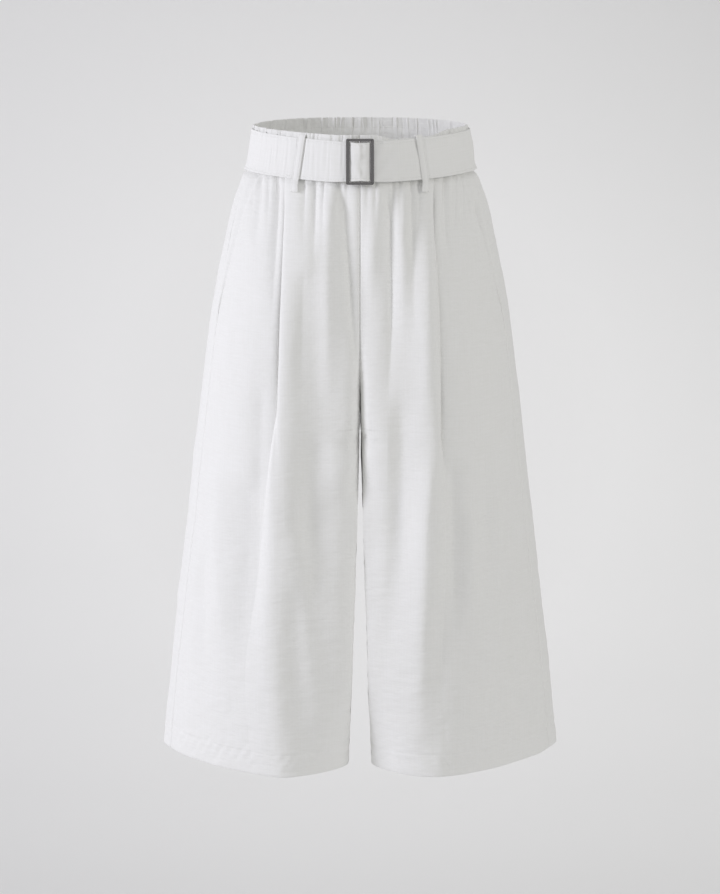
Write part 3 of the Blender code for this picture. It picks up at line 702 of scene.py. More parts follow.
def grid_piece(name, points, flat, material):
    """A sheet from points and their places on the flat cloth, by row and column."""
    rows, columns = points.shape[:2]
    deselect_all()
    bpy.ops.mesh.primitive_grid_add(x_subdivisions=columns - 1, y_subdivisions=rows - 1)
    piece = bpy.context.object
    piece.name = piece.data.name = name
    mesh = piece.data
    mesh.vertices.foreach_set("co", points.reshape(-1))
    corners = np.empty(len(mesh.loops), dtype=np.int32)
    mesh.loops.foreach_get("vertex_index", corners)
    mesh.uv_layers[0].data.foreach_set("uv", flat.reshape(-1, 2)[corners].reshape(-1))
    mesh.materials.append(material)
    mesh.update()
    return piece


def thicken(piece, wall):
    """Give a sheet its wall and smooth shading."""
    solidify = piece.modifiers.new("wall", "SOLIDIFY")
    solidify.thickness = wall
    solidify.offset = 0.0
    bpy.context.view_layer.objects.active = piece
    bpy.ops.object.modifier_apply(modifier="wall")
    bpy.ops.object.shade_smooth_by_angle(angle=SMOOTH_ANGLE)


def close_tube(piece):
    """Merge a rolled-up grid's meeting edges, cap its ends and point its faces out."""
    bpy.ops.object.mode_set(mode="EDIT")
    bpy.ops.mesh.select_all(action="SELECT")
    bpy.ops.mesh.remove_doubles(threshold=0.000001)
    bpy.ops.mesh.select_all(action="SELECT")
    bpy.ops.mesh.fill_holes(sides=0)
    bpy.ops.mesh.select_all(action="SELECT")
    bpy.ops.mesh.normals_make_consistent(inside=False)
    bpy.ops.object.mode_set(mode="OBJECT")
    bpy.ops.object.shade_smooth_by_angle(angle=SMOOTH_ANGLE)


def hand_over(piece, nodes):
    """Tie a finished piece to the frame."""
    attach(piece, "root")
    if nodes:
        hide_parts(*nodes)
    print(piece.name, len(piece.data.polygons), "faces")


def half_sheet(name, side, front, points, flat, material=panel_linen, wall=WALL):
    """A sheet of one half from its points on +X, which the right side mirrors."""
    half = HALVES[side]
    points = points * (half, 1.0, 1.0)
    order = half if front else -half
    piece = grid_piece(name + "_cloth", points[::-1, ::order], flat[::-1, ::order], material)
    thicken(piece, wall)
    hand_over(piece, [name])
    return points


# %% [markdown]
# ## The four leg panels
# A front and a back panel make each leg. The hem is turned up 25 mm inside and
# stitched. Along every seam the cloth rolls inwards, which draws the seam as a fine
# groove, and the stitching puckers the cloth beside it.

# %% Rows and columns of the panels
SEAM_EDGE = 0.00046  # cloth stops this short of a seam's middle
ROLL_DEPTH = 0.0017  # how far it rolls in there
ROLL_REACH = 0.0024  # and over what width
EDGE_STEPS = np.array([0.0, 0.0003, 0.0008, 0.0015])
EDGE_BAND = 0.0025  # width of the narrow columns beside a seam
PAST_PLEAT = 0.0018  # where the plain columns start beyond the pleat
BEYOND_CROWDING = 1.25  # how much closer together they lie at first, 1 is evenly
STITCH_Z = HEM_Z + 0.025
HEM_TURN = 0.0007  # radius of the hem's folded edge
CURVE_TURNS = np.radians(np.linspace(3, 90, 30))
HEIGHTS = np.concatenate([
    np.linspace(WAIST_SEAM_Z, CURVE_Z, 80),
    CURVE_Z + (CROTCH_Z - CURVE_Z) * np.sin(CURVE_TURNS),
    np.linspace(CROTCH_Z - 0.0028, STITCH_Z + 0.006, 124),
    np.linspace(STITCH_Z + 0.0045, STITCH_Z - 0.0045, 10),
    np.linspace(STITCH_Z - 0.007, HEM_Z + HEM_TURN, 8)])
TURN_ANGLES = np.radians([40, 90, 140, 180])
HEM_ROWS = [(HEM_Z + HEM_TURN * (1 - math.sin(a)), -HEM_TURN * (1 - math.cos(a)))
            for a in TURN_ANGLES]
HEM_ROWS += [(z, -2 * HEM_TURN) for z in np.linspace(HEM_Z + 0.004, STITCH_Z - 0.002, 5)]
HEM_ROWS += [(STITCH_Z - 0.0005, -1.4 * HEM_TURN)]
ALL_ROWS = [(z, 0.0) for z in HEIGHTS] + HEM_ROWS
print(len(ALL_ROWS), "rows a panel")


def spline_weights(points, samples):
    """Weights that draw a smooth curve through a short chain of points."""
    place = np.linspace(0.0, points + 1 - 1e-9, samples)
    span = np.floor(place).astype(int)
    u = place - span
    basis = ((1 - u) ** 3, 3 * u ** 3 - 6 * u * u + 4, 1 + 3 * u + 3 * u * u - 3 * u ** 3, u ** 3)
    weights = np.zeros((samples, points))
    for k, share in enumerate(basis):
        np.add.at(weights, (np.arange(samples), np.clip(span + k - 2, 0, points - 1)), share / 6)
    return weights


PLEAT_WEIGHTS = spline_weights(7, 30)  # seven points, thirty columns


def pleat_points(pleat):
    """The pleat across its folds: distance from its edge and height."""
    shut = max(-1.0, min(1.0, pleat.overlap / PLEAT_SHUT))
    lap, rise = pleat.overlap, pleat.rise
    open_share = float(smooth(-lap / PLEAT_OPEN))
    crest = TURN + CREST_TURN * open_share
    along = np.array([-PLEAT_LEAD, -crest, 0.0, -crest * shut, TURN * shut - lap, -lap, TURN - lap])
    folded = np.array([1.0, 1.0, 0.76, 0.53, 0.47, 0.24, 0.0])
    opened = np.array([1.0, 0.99, 0.93, 0.79, 0.06, 0.01, 0.0])
    height = rise * (folded + (opened - folded) * open_share)
    return PLEAT_WEIGHTS @ along, PLEAT_WEIGHTS @ height


# %% What shapes the cloth between its seams
# soft unevenness of the cloth: its height, more height towards the hem, and its size
Rumple = namedtuple("Rumple", "height lower across down")
RUMPLES = [Rumple(0.0009, 0.0, 0.050, 0.085), Rumple(0.0005, 0.0, 0.019, 0.034),
           Rumple(0.00018, 0.00030, 0.015, 0.0055)]
LOWER_Z, LOWER_RAMP = -0.32, 0.25
UNDER_BELT = (0.0011, 0.050)  # height of the gathered cloth there, and how far down
SEAM_QUIET = 0.010  # width beside a seam in which folds die out
SIDE_WANDER = (0.0008, 0.045, 0.020)  # of the side seam: height, length and reach inwards
# puckers of each seam: how far they reach, their pitch and height
SIDE_PUCKER = (0.006, 0.0115, 0.00032)
CENTRE_PUCKER = (0.005, 0.0105, 0.00022)
CENTRE_SEED = 71  # one for all four panels
HEM_PUCKER = (0.012, 0.0135, 0.00045)
PUCKER_OFF = 0.002  # distance of the side and centre puckers from the seam
HEM_PUCKER_OFF = 0.006  # how far below the stitches the hem's are highest
STITCH_GROOVE = (0.00035, 0.0011)  # depth and width of the hem's stitched line


def panel_push(outline, distance, first, last, folds, gathers, seed, hem):
    """Folds, creases and puckers of a panel at one height."""
    z = outline.z
    down = np.full_like(distance, z)
    across = distance - outline.grain
    inner, outer = distance - first, last - distance
    push = folds_at(outline, folds, distance) + gathers_at(outline, gathers, distance)
    lower = float(smooth((LOWER_Z - z) / LOWER_RAMP))
    for i, row in enumerate(RUMPLES):
        height = row.height + row.lower * lower
        push += height * rumple(across, down, row.across, row.down, seed + i)
    height, reach = UNDER_BELT
    under = float(smooth(1.0 - (WAIST_SEAM_Z - z) / reach))
    push += height * under * gathered(across, down, seed + 4)
    push *= smooth(inner / SEAM_QUIET) * smooth(outer / SEAM_QUIET)
    # the front and the back share these, so that their edges stay together
    shared = seed // 100
    height, length, reach = SIDE_WANDER
    wander = height * rumple(down, np.zeros_like(down), length, 1.0, shared)
    push += wander * (1.0 - smooth(outer / reach))
    push += seam_pucker(down, outer - PUCKER_OFF, *SIDE_PUCKER, shared + 1)
    push += seam_pucker(down, inner - PUCKER_OFF, *CENTRE_PUCKER, CENTRE_SEED)
    above_hem = down - STITCH_Z
    slanted = across + 0.7 * above_hem
    push += seam_pucker(slanted, above_hem + HEM_PUCKER_OFF, *HEM_PUCKER, seed + 3)
    if not hem:
        depth, width = STITCH_GROOVE
        push -= depth * np.exp(-(above_hem / width) ** 2)
    for off in (inner, outer):
        t = np.clip(1.0 - off / ROLL_REACH, 0.0, 1.0)
        push -= ROLL_DEPTH * (1.0 - np.sqrt(1.0 - t * t))
    return push


def fork_columns(outline, first, fork, count=16):
    """Columns from the inner edge to the fork, one of them on the bend between the legs."""
    even = np.linspace(first, fork, count, endpoint=False)
    half = count // 2
    bent = np.concatenate([np.linspace(first, outline.bend, half, endpoint=False),
                           np.linspace(outline.bend, fork, count - half, endpoint=False)])
    return even + (bent - even) * smooth(outline.bend / BEND_FULL)


def front_distances(outline, pleat):
    """Columns of a front panel: places along the outline and the pleat's heights."""
    edge = outline.at_x(pleat.x)
    first, last = SEAM_EDGE, mouth_at(outline) - SEAM_EDGE
    fork = outline.at_x(FORK_X)
    inside = np.concatenate([
        first + EDGE_STEPS, fork_columns(outline, first + EDGE_BAND, fork),
        np.linspace(fork, edge - PLEAT_LEAD, 42, endpoint=False)])
    ramp = pleat.rise * smooth((inside - edge + PLEAT_LEAD + PLEAT_RAMP) / PLEAT_RAMP)
    along, height = pleat_points(pleat)
    past = edge + max(0.0, -pleat.overlap) + PAST_PLEAT
    beyond = past + (last - EDGE_BAND - past) * np.linspace(0.0, 1.0, 56) ** BEYOND_CROWDING
    outside = np.concatenate([beyond, last - EDGE_STEPS[::-1]])
    distance = np.concatenate([inside, edge + along, outside])
    return distance, np.concatenate([ramp, height, np.zeros_like(outside)]), first, last


def back_distances(outline):
    """Columns of a back panel, which has no pleat."""
    fork = outline.at_x(FORK_X)
    first, last = SEAM_EDGE, outline.seam - SEAM_EDGE
    distance = np.concatenate([
        first + EDGE_STEPS, np.linspace(first + EDGE_BAND, fork, 16, endpoint=False),
        np.linspace(fork, last - EDGE_BAND, 94), last - EDGE_STEPS[::-1]])
    return distance, 0.0, first, last


def panel_sheet(front, pleats, folds, gathers, seed):
    """Points of a panel on +X and their places on the flat cloth."""
    points, flat = [], []
    for z, inward in ALL_ROWS:
        outline = outline_at(z, front)
        distance, height, first, last = (front_distances(outline, read(pleats, z)) if front
                                         else back_distances(outline))
        push = height + panel_push(outline, distance, first, last, folds, gathers, seed, inward < 0)
        points.append(placed(outline, distance, push + inward))
        flat.append(on_cloth(outline, distance, z))
    return np.array(points), np.array(flat)


# %% Build the panels
Panel = namedtuple("Panel", "place side pleats folds gathers seed")
PANELS = [
    Panel("front", "left", PLEAT_LEFT, FRONT_LEFT_FOLDS, FRONT_LEFT_GATHERS, 100),
    Panel("back", "left", [], BACK_LEFT_FOLDS, [], 150),
    Panel("front", "right", PLEAT_RIGHT, FRONT_RIGHT_FOLDS, FRONT_RIGHT_GATHERS, 200),
    Panel("back", "right", [], BACK_RIGHT_FOLDS, [], 250),
]
panels = {}
for panel in PANELS:
    name, front = panel.place + "_" + panel.side, panel.place == "front"
    points, flat = panel_sheet(front, *panel[2:])
    panels[name] = (half_sheet(name, panel.side, front, points, flat), flat)

# %% [markdown]
# ## Pockets
# The slanted mouth of each pocket stands a little open, and the pocket's back shows in
# the gap. It is a sheet that lies behind the front panel and joins it at the side seam.

# %% Pockets
POCKET_HEIGHTS = np.linspace(WAIST_SEAM_Z, POCKET_BAG_Z, 100)
POCKET_TURN = 0.0012  # how far behind the mouth the pocket starts to come forward
POCKET_BACK = 0.0002
for side, folds in (("left", FRONT_LEFT_FOLDS), ("right", FRONT_RIGHT_FOLDS)):
    points, flat = [], []
    for z in POCKET_HEIGHTS:
        outline = outline_at(z, True)
        mouth = mouth_at(outline)
        turn = min(mouth + POCKET_TURN, outline.seam - POCKET_TURN)
        last = outline.seam - SEAM_EDGE
        distance = np.concatenate([np.linspace(outline.at_x(POCKET_BAG_X), turn, 12),
                                   np.linspace(turn + EDGE_STEPS[1], last, 14)])
        rise = float(smooth((outline.seam - mouth) / POCKET_FLUSH))
        climb = rise * smooth((distance - turn) / (last - turn) * 1.4)
        push = folds_at(outline, folds, distance) * smooth((last - distance) / SEAM_QUIET)
        push -= POCKET_DEPTH * (1.0 - climb) + POCKET_BACK
        points.append(placed(outline, distance, push))
        flat.append(on_cloth(outline, distance, z))
    half_sheet("pocket_" + side, side, True, np.array(points), np.array(flat))

# %% [markdown]
# ## Waistband
# The waistband is one strip of cloth folded over an elastic. A line of stitches 11 mm
# below the fold holds the elastic down, and the cloth above it stands up as a frill.
# The elastic gathers everything into sharp, uneven pleats.

# %% Points round the waist
RING_LOW = -0.042  # heights at which the waist's sections are read
RING_STEP = 0.006
FULL_TURN = 360.0


def half_round(front, back):
    """Length of half the waist from the centre front to the centre back."""
    return front.where[-1] + back.where[back.side_index - 1]


def ring_level(degrees, out, step):
    """Points round the waist at one level of the ladder of heights."""
    z = RING_LOW + RING_STEP * step
    half_turn = np.where(degrees > 180.0, FULL_TURN - degrees, degrees)
    front, back = outline_at(z, True), outline_at(z, False)
    length = half_round(front, back)
    distance = half_turn / 180.0 * length
    behind = distance >= front.where[-1]
    rest = length - distance
    ahead = front.spot(distance) + front.outward(distance) * out[..., None]
    after = back.spot(rest) + back.outward(rest) * out[..., None]
    flat = np.where(behind[..., None], after, ahead)
    flat[..., 0] *= np.where(degrees > 180.0, -1.0, 1.0)
    return flat


def ring(degrees, z, out):
    """Points round the waist: 0 at the centre front, 90 at the left side, 180 behind."""
    degrees, z, out = np.broadcast_arrays(np.mod(degrees, FULL_TURN), z, out)
    place = (z - RING_LOW) / RING_STEP
    steps = np.floor(place).astype(int)
    flat = np.zeros(z.shape + (2,))
    for step in np.unique(steps):
        chosen = steps == step
        low = ring_level(degrees[chosen], out[chosen], int(step))
        high = ring_level(degrees[chosen], out[chosen], int(step) + 1)
        t = (place - step)[chosen][..., None]
        flat[chosen] = low + (high - low) * t
    return np.concatenate([flat, (z + lift(flat[..., 1], z))[..., None]], axis=-1)


def header_height(degrees):
    """The frilled upper edge of the waistband, pushed down on the left front."""
    backness = (1.0 - np.cos(np.radians(degrees))) / 2
    dip = smooth((degrees - 8.0) / 14.0) * smooth((68.0 - degrees) / 22.0)
    return HEADER_Z - HEADER_BACK_DROP * backness - HEADER_DIP * dip


# %% Build the waistband
BAND_OUT = 0.0027  # distance of the band's middle from the section
BAND_HALF = 0.0011  # half its thickness over the elastic
FRILL_HALF = 0.0006  # half its thickness above the stitches
CHANNEL = 0.011  # distance of the stitches below the fold
BAND_COLUMNS = 700
BAND_GAP = 0.06  # degrees that each half keeps clear of a side seam
BAND_LIMIT = 0.0041  # furthest out that its cloth may reach behind the belt
BAND_SEED_FRONT, BAND_SEED_BACK = 310, 330
CREASE_DEPTH = 0.0019  # of its thin creases, where the frill stands free
STITCH_NIP = 0.0004  # how much thinner it is along the stitches
# its height from the foot to the fold, from the outside's top row down
BAND_ROWS = [1.0, 0.985, 0.95, 0.88, 0.80, 0.745, 0.725, 0.705, 0.64, 0.50, 0.34, 0.18, 0.05, 0.0]


def band_wave(frill):
    """Height of the gathers, which open out above the stitches."""
    return 0.0005 + 0.0017 * frill


def waistband(name, first, last, seed):
    """One half of the waistband, as a closed loop of cloth round its elastic."""
    degrees = np.linspace(first + BAND_GAP, last - BAND_GAP, BAND_COLUMNS)
    top, foot = header_height(degrees), WAIST_SEAM_Z + 0.0003
    # down the outside, round the foot, up the inside and round the fold
    path = [(part, 1.0) for part in BAND_ROWS] + [(part, -1.0) for part in BAND_ROWS[::-1]]
    path += [(1.012, -0.45), (1.012, 0.45), (1.0, 1.0)]
    points, flat = [], []
    for part, face in path:
        z = foot + (top - foot) * part
        below = (top - z) / CHANNEL
        frill = smooth(1.6 - below)
        half = BAND_HALF + (FRILL_HALF - BAND_HALF) * frill
        half = half - STITCH_NIP * np.exp(-((below - 1.0) / 0.12) ** 2)
        along = degrees * WAIST_DEGREE
        middle = BAND_OUT + gathered(along, z, seed) * band_wave(frill)
        ripple = gathered(along, z, seed + (5 if face < 0 else 2)) * 0.0006 * (1 - 0.6 * frill)
        crease = creases(along, seed + 8) * CREASE_DEPTH * (0.25 + 0.75 * frill)
        out = middle + face * half + ripple + crease
        behind_belt = smooth((BELT_HALF + 0.0015 - z) / 0.001)
        points.append(ring(degrees, z, out - behind_belt * np.maximum(out - BAND_LIMIT, 0.0)))
        flat.append(np.stack([degrees * WAIST_DEGREE * 1.5, z + 0.2 * (face < 0)], axis=1))
    piece = grid_piece(name + "_cloth", np.array(points), np.array(flat), panel_linen)
    close_tube(piece)
    hand_over(piece, [name])


waistband("waistband_front", -90.0, 90.0, BAND_SEED_FRONT)
waistband("waistband_back", 90.0, 270.0, BAND_SEED_BACK)

# %% [markdown]
# ## Belt
# The belt is a double strip of the same linen with a stiffener and a line of stitches
# near each edge. It starts at the buckle's crossbar, goes once round the waist, comes
# up through the buckle, over the bar and on past the wearer's left side.

# %% Build the belt
EDGE_STITCH = 0.0026  # distance of the stitches from the belt's edge
GROOVE = 1.0 - EDGE_STITCH / BELT_HALF
BELT_START = 1.0  # degrees round the waist at which it starts
TIGHT_FROM = 268.0  # where its tight, ribbed stretch starts
RIBS_TO = 357.0  # and ends
LAP_FROM, LAP_RAMP = 325.0, 26.0  # where it climbs over its own start
LOOSE_FROM = 364.0  # where its slanting wrinkles start
LOOP_PRESS = 0.0012  # how far it is pressed in beside the front loops
RIB_DEPTH = 0.0004  # of the tight stretch
PINCH, PINCH_SPAN = 0.080, 9.0  # share of its height lost in the buckle


def strap_out(degrees):
    """How far the strap lies outside the section: under, round, and over the bar."""
    lap = smooth((degrees - LAP_FROM) / LAP_RAMP)
    past_bar = np.abs(degrees - FULL_TURN) / CROSSBAR_SPAN
    hump = 1.0 - np.minimum(past_bar, 1.0) ** 4
    return STRAP_UNDER + (STRAP_OVER - STRAP_UNDER) * lap + STRAP_HUMP * hump


def beside_loop(foot, top, z):
    """Distance of a loop from the middle at height z."""
    return foot + (top - foot) * (z - LOOP_FOOT_Z) / (LOOP_TOP_Z - LOOP_FOOT_Z)


def beside_loops(degrees, height):
    """How much the strap is pressed in along both edges of the two front loops."""
    level = round(float(np.mean(height)), 4)
    front, back = outline_at(level, True), outline_at(level, False)
    top, foot = LOOP_FRONT
    place = front.at_x(beside_loop(foot, top, level))
    turned = np.abs(np.mod(degrees + 180.0, FULL_TURN) - 180.0)
    off = np.abs(turned / 180.0 * half_round(front, back) - place) - LOOP_WIDTH / 2
    return LOOP_PRESS * np.exp(-((off - 0.0006) / 0.0013) ** 2)


def window_puff(degrees, height):
    """The soft lumps of the strap in the buckle's window, drawn in along its middle."""
    past_bar = np.abs(degrees - FULL_TURN)
    lumps = rumple(degrees * WAIST_DEGREE + 0.5 * height, height, 0.0050, 0.0055, 404)
    sides = smooth((past_bar - 0.8) / 3.0)
    middle = np.exp(-(height / 0.0026) ** 2) * (0.0006 + 0.0022 * sides)
    return np.exp(-(past_bar / 4.5) ** 2) * (np.maximum(0.0008 + 0.0013 * lumps, 0.0) - middle)


def belt_relief(degrees, height):
    """Ribs where the strap is pulled tight, and soft slanting wrinkles past the buckle."""
    along = degrees * WAIST_DEGREE
    tight = smooth((degrees - TIGHT_FROM) / 20.0) * smooth((RIBS_TO - degrees) / 4.0)
    ribs = rumple(along, height, 0.0019, 0.030, 401)
    loose = smooth((degrees - LOOSE_FROM) / 5.0)
    slanted = rumple(along - 0.9 * height, height + 0.4 * along, 0.0085, 0.030, 402)
    slack = 0.0010 + 0.0016 * smooth((392.0 - degrees) / 14.0)
    broad = rumple(along, height, 0.035, 0.030, 403)
    return (RIB_DEPTH * ribs * tight + slack * slanted * loose + 0.0005 * broad
            + window_puff(degrees, height) - beside_loops(degrees, height))


# more columns where it is ribbed, and most in the buckle
turns = np.concatenate([np.linspace(BELT_START, 90.0, 60, endpoint=False),
                        np.linspace(90.0, TIGHT_FROM, 150, endpoint=False),
                        np.linspace(TIGHT_FROM, 352.0, 200, endpoint=False),
                        np.linspace(352.0, 369.0, 60, endpoint=False),
                        np.linspace(369.0, BELT_TIP, 170)])
# the outer face from the middle up: share of the half height, and of the half wall
upper = [(0.0, 1.0), (0.3, 1.0), (0.6, 1.0), (0.80, 1.0), (GROOVE - 0.02, 0.95), (GROOVE, 0.55),
         (GROOVE + 0.02, 0.95), (0.955, 1.0), (0.985, 0.9), (1.0, 0.55)]
face = [(-part, wall) for part, wall in upper[:0:-1]] + upper
section = face + [(part, -wall) for part, wall in face[::-1]] + face[:1]
pinch = PINCH * np.exp(-((turns - FULL_TURN) / PINCH_SPAN) ** 2)
belt_points, belt_flat = [], []
for part, side in section:
    height = part * BELT_HALF * (1.0 - pinch)
    out = strap_out(turns) + side * STRAP / 2 + belt_relief(turns, height)
    belt_points.append(ring(turns, height, out))
    belt_flat.append(np.stack([turns * WAIST_DEGREE, height + 0.1 * (side < 0)], axis=1))
belt_points = np.array(belt_points)
belt = grid_piece("belt_cloth", belt_points, np.array(belt_flat), strap_linen)
close_tube(belt)
hand_over(belt, ["belt"])

# %% [markdown]
# ## Belt loops
# A loop is a narrow folded strip, stitched along both edges. It is sewn in behind the
# frill, comes down over the belt and is stitched to the panel below it.

# %% Belt loops
LOOP_ROWS = 70
LOOP_ACROSS = np.array([-0.5, -0.47, -0.38, -0.33, -0.28, -0.12, 0.0,
                        0.12, 0.28, 0.33, 0.38, 0.47, 0.5])
LOOP_RELIEF = np.array([-0.4, -0.05, 0.15, -0.25, 0.05, 0.15, 0.2,
                        0.15, 0.05, -0.25, 0.15, -0.05, -0.4]) * MM
LOOP_SEWN = 0.0052  # distance from the section at which its head is sewn in
# over: distance from the section in front of the belt; landing: at its foot
Loop = namedtuple("Loop", "place side ends head over landing")
LOOPS = [
    Loop("front", "left", LOOP_FRONT, 0.0250, LOOP_OVER_TWO, 0.0058),
    Loop("back", "left", LOOP_BACK, 0.0232, LOOP_OVER_ONE, 0.0022),
    Loop("front", "right", LOOP_FRONT, 0.0250, LOOP_OVER_ONE, 0.0058),
    Loop("back", "right", LOOP_BACK, 0.0232, LOOP_OVER_ONE, 0.0022),
]


def loop_path(loop):
    """Distance from the section and height along a loop, from its head to its foot."""
    over, head, landing = loop.over, loop.head, loop.landing
    path = [(LOOP_SEWN, head), (over - 0.0008, head + 0.0012), (over, head - 0.0018), (over, 0.0),
            (over, -0.0236), (landing + 0.0022, -0.0285), (landing, -0.0325),
            (landing, LOOP_FOOT_Z)]
    return spline_weights(len(path), LOOP_ROWS) @ np.array(path)


loop_points = {}
for loop in LOOPS:
    name, front = "_".join(("loop", loop.place, loop.side)), loop.place == "front"
    top, foot = loop.ends
    points, flat = [], []
    for out, z in loop_path(loop):
        outline = outline_at(round(float(z), 5), front)
        distance = outline.at_x(beside_loop(foot, top, z)) + LOOP_ACROSS * LOOP_WIDTH
        points.append(placed(outline, distance, out + LOOP_RELIEF))
        flat.append(on_cloth(outline, distance, z))
    loop_points[name] = half_sheet(name, loop.side, front, np.array(points), np.array(flat),
                                   strap_linen, LOOP_WALL)

# %% [markdown]
# ## Buckle
# The buckle is a cast zinc frame, plated a dark satin grey. Its corners are rounded and
# its edges softened in the mould, and a thin bar crosses its middle behind the strap.

# %% Gunmetal
gunmetal, metal_tree, metal_shader = new_material("satin_gunmetal_plating", "#8b898a", 0.25, 1.0)
grain = add_node(metal_tree, "ShaderNodeTexNoise", inputs={
    "Vector": add_node(metal_tree, "ShaderNodeTexCoord").outputs["Object"],
    "Scale": 900.0, "Detail": 2.0}).outputs["Fac"]
satin = add_node(metal_tree, "ShaderNodeBump",
                 inputs={"Height": grain, "Distance": 0.03 * MM, "Strength": 0.4})
metal_tree.links.new(satin.outputs["Normal"], metal_shader.inputs["Normal"])

# %% Build the buckle
deselect_all()
bpy.ops.mesh.primitive_plane_add(size=1.0)
buckle = bpy.context.object
buckle.name = buckle.data.name = "buckle_frame"
bpy.ops.object.mode_set(mode="EDIT")
bpy.ops.mesh.select_all(action="SELECT")
bpy.ops.transform.resize(value=(BUCKLE_WIDTH, BUCKLE_HEIGHT, 1.0))
bpy.ops.mesh.bevel(offset=BUCKLE_CORNER, segments=6, affect="VERTICES")
bpy.ops.mesh.select_all(action="SELECT")
bpy.ops.mesh.inset(thickness=BUCKLE_RAIL)
window = (BUCKLE_WIDTH - 2 * BUCKLE_BAR) / (BUCKLE_WIDTH - 2 * BUCKLE_RAIL)
bpy.ops.transform.resize(value=(window, 1.0, 1.0))
bpy.ops.mesh.delete(type="ONLY_FACE")
bpy.ops.mesh.select_all(action="SELECT")
bpy.ops.mesh.extrude_region_move(TRANSFORM_OT_translate={"value": (0, 0, BUCKLE_PLATE)})
bpy.ops.mesh.select_all(action="SELECT")
bpy.ops.mesh.normals_make_consistent(inside=False)
bpy.ops.object.mode_set(mode="OBJECT")
rounding = buckle.modifiers.new("rounding", "BEVEL")
rounding.width = BUCKLE_BEVEL
rounding.segments = 3
rounding.limit_method = "ANGLE"
rounding.angle_limit = math.radians(40)
bpy.ops.object.modifier_apply(modifier="rounding")
# the crossbar
deselect_all()
bpy.ops.mesh.primitive_cylinder_add(vertices=20, radius=CROSSBAR,
                                    depth=BUCKLE_HEIGHT - BUCKLE_RAIL,
                                    location=(0, 0, BUCKLE_PLATE / 2),
                                    rotation=(math.pi / 2, 0, 0))
buckle.select_set(True)
bpy.context.view_layer.objects.active = buckle
bpy.ops.object.join()
# it leans as the front of the waist does
reach = 0.0225
step = read(SECTIONS, reach).centre_y - read(SECTIONS, -reach).centre_y
buckle.rotation_euler = (math.pi / 2 - math.atan2(step, 2 * reach), 0.0, 0.0)
buckle.location = (0.0, read(SECTIONS, 0.0).centre_y - BUCKLE_OUT, 0.0)
bpy.ops.object.transform_apply(location=True, rotation=True, scale=True)
buckle.data.materials.append(gunmetal)
bpy.ops.object.shade_smooth_by_angle(angle=math.radians(35))
hand_over(buckle, ["buckle"])

# %% [markdown]
# ## Stitches
# Lockstitches in white thread hold the hems, the elastic's channel, the pocket mouths
# and the edges of belt and loops. One small bead of thread is modelled and copied
# along each line, sunk a little way into the cloth.

# %% One stitch and its copies
STITCH = 0.0030  # from one stitch to the next
STITCH_LONG = 0.0011  # half its length
STITCH_THICK = 0.00028  # half its thickness

deselect_all()
bpy.ops.mesh.primitive_uv_sphere_add(segments=6, ring_count=4, radius=1.0)
seed_object = bpy.context.object
bead = np.array([v.co[:] for v in seed_object.data.vertices])
bead_faces = [tuple(p.vertices) for p in seed_object.data.polygons]
bpy.data.objects.remove(seed_object, do_unlink=True)


def between(places, where, values):
    """Values in three columns, read at places along a line."""
    return np.stack([np.interp(places, where, column) for column in values.T], axis=1)


def along_line(points, normals):
    """Places, directions and outward directions of the stitches along a line."""
    where = np.concatenate([[0.0], np.cumsum(np.linalg.norm(np.diff(points, axis=0), axis=1))])
    middles = np.arange(STITCH / 2, where[-1] - STITCH / 2, STITCH)
    at = between(middles, where, points)
    way = between(middles + STITCH_LONG, where, points) - at
    return at, way / np.linalg.norm(way, axis=1, keepdims=True), between(middles, where, normals)


def stitches(name, lines):
    """Copy the bead along lines of points with outward directions."""
    vertices, faces = [], []
    for points, normals in lines:
        for at, way, out in zip(*along_line(points, normals)):
            out = out - way * np.dot(out, way)
            out = out / np.linalg.norm(out)
            sideways = np.cross(way, out)
            shape = (bead[:, :1] * way * STITCH_LONG + bead[:, 1:2] * sideways * STITCH_THICK
                     + bead[:, 2:] * out * STITCH_THICK)
            start = len(vertices) * len(bead)
            vertices.append(at + shape)
            faces += [tuple(start + i for i in face) for face in bead_faces]
    mesh = bpy.data.meshes.new(name)
    mesh.from_pydata(np.concatenate(vertices).tolist(), [], faces)
    mesh.materials.append(thread_white)
    mesh.shade_smooth()
    hand_over(add_object(name, mesh), [])


def grid_normals(name, points):
    """Outward normals of the grid of points of a named piece."""
    across = np.gradient(points, axis=1)
    down = np.gradient(points, axis=0)
    normals = np.cross(down, across) * (-1 if name.endswith("left") == ("front" in name) else 1)
    return normals / np.maximum(np.linalg.norm(normals, axis=2, keepdims=True), 1e-12)


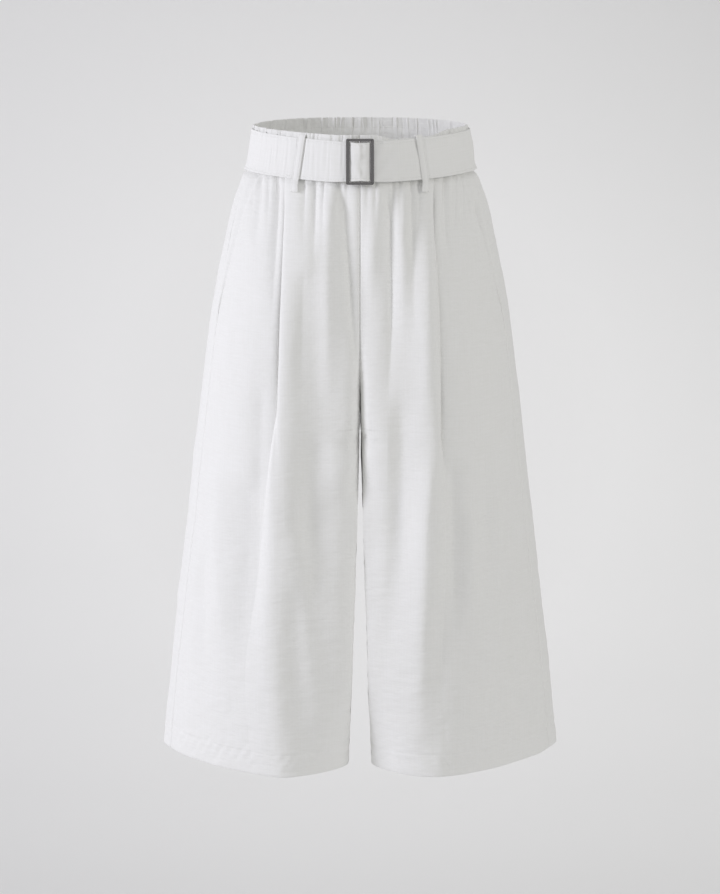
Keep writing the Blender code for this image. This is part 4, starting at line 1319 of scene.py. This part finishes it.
# %% Sew the lines
MOUTH_STITCH = 0.0062  # distance of the stitches from the pocket mouth
MOUTH_PAST = 0.004  # how far they go on below it
BELT_STITCH_FROM = 92.0  # degrees; before that the belt lies under itself
STITCH_SUNK = 0.0002  # how deep the channel's stitches lie in the cloth
LIFT = 0.001  # a line is raised by this to find its outward directions
hem_row = int(np.argmin(np.abs(HEIGHTS - STITCH_Z)))
mouth_rows = np.flatnonzero(HEIGHTS > POCKET_LOW_Z - MOUTH_PAST)
hem_lines, mouth_lines = [], []
for name, (points, flat) in panels.items():
    normals = grid_normals(name, points)
    hem_out = normals[hem_row, 3:-3]
    hem_lines.append((points[hem_row, 3:-3] + hem_out * WALL / 2, hem_out))
    if name.startswith("front"):
        line, out = [], []
        for r in mouth_rows:
            places = flat[r, :, 0]
            target = places[-1] - MOUTH_STITCH
            c = int(np.argmin(np.abs(places - target)))
            share = (target - places[c - 1]) / (places[c] - places[c - 1])
            line.append(points[r, c - 1] + (points[r, c] - points[r, c - 1]) * share)
            out.append(normals[r, c])
        line, out = np.array(line), np.array(out)
        mouth_lines.append((line + out * WALL / 2, out))
stitches("hem_stitches", hem_lines)
stitches("pocket_stitches", mouth_lines)


def ring_line(degrees, height, out, way):
    """A line round the waist with its directions, outwards when way is 1."""
    points = ring(degrees, height, out)
    return points, (ring(degrees, height, out + way * LIFT) - points) / LIFT


kept = turns > BELT_STITCH_FROM
belt_lines = []
for part in (-GROOVE, GROOVE):
    height = part * BELT_HALF * (1.0 - pinch[kept])
    out = strap_out(turns[kept]) + STRAP * 0.3 + belt_relief(turns[kept], height)
    belt_lines.append(ring_line(turns[kept], height, out, 1))
stitches("belt_stitches", belt_lines)

channel_lines = []
for first, last, seed in ((-89.5, 89.5, BAND_SEED_FRONT), (90.5, 269.5, BAND_SEED_BACK)):
    degrees = np.linspace(first, last, 500)
    z = header_height(degrees) - CHANNEL
    wave = gathered(degrees * WAIST_DEGREE, z, seed) * band_wave(float(smooth(0.6)))
    inside = BAND_OUT + wave - BAND_HALF + STITCH_SUNK
    channel_lines.append(ring_line(degrees, z, inside, -1))
stitches("channel_stitches", channel_lines)

loop_lines = []
for name, points in loop_points.items():
    normals = grid_normals(name, points)
    for column in (3, -4):
        out = normals[6:, column]
        loop_lines.append((points[6:, column] + out * LOOP_WALL / 2, out))
stitches("loop_stitches", loop_lines)

# %% [markdown]
# ## What each sheet was cut from
# A record for the flat size of a piece of cloth is set out here.

# %% Sheets
# the cut's greatest width, its length and, where it isn't a rectangle, its area
Cut = namedtuple("Cut", "pieces width length held area")
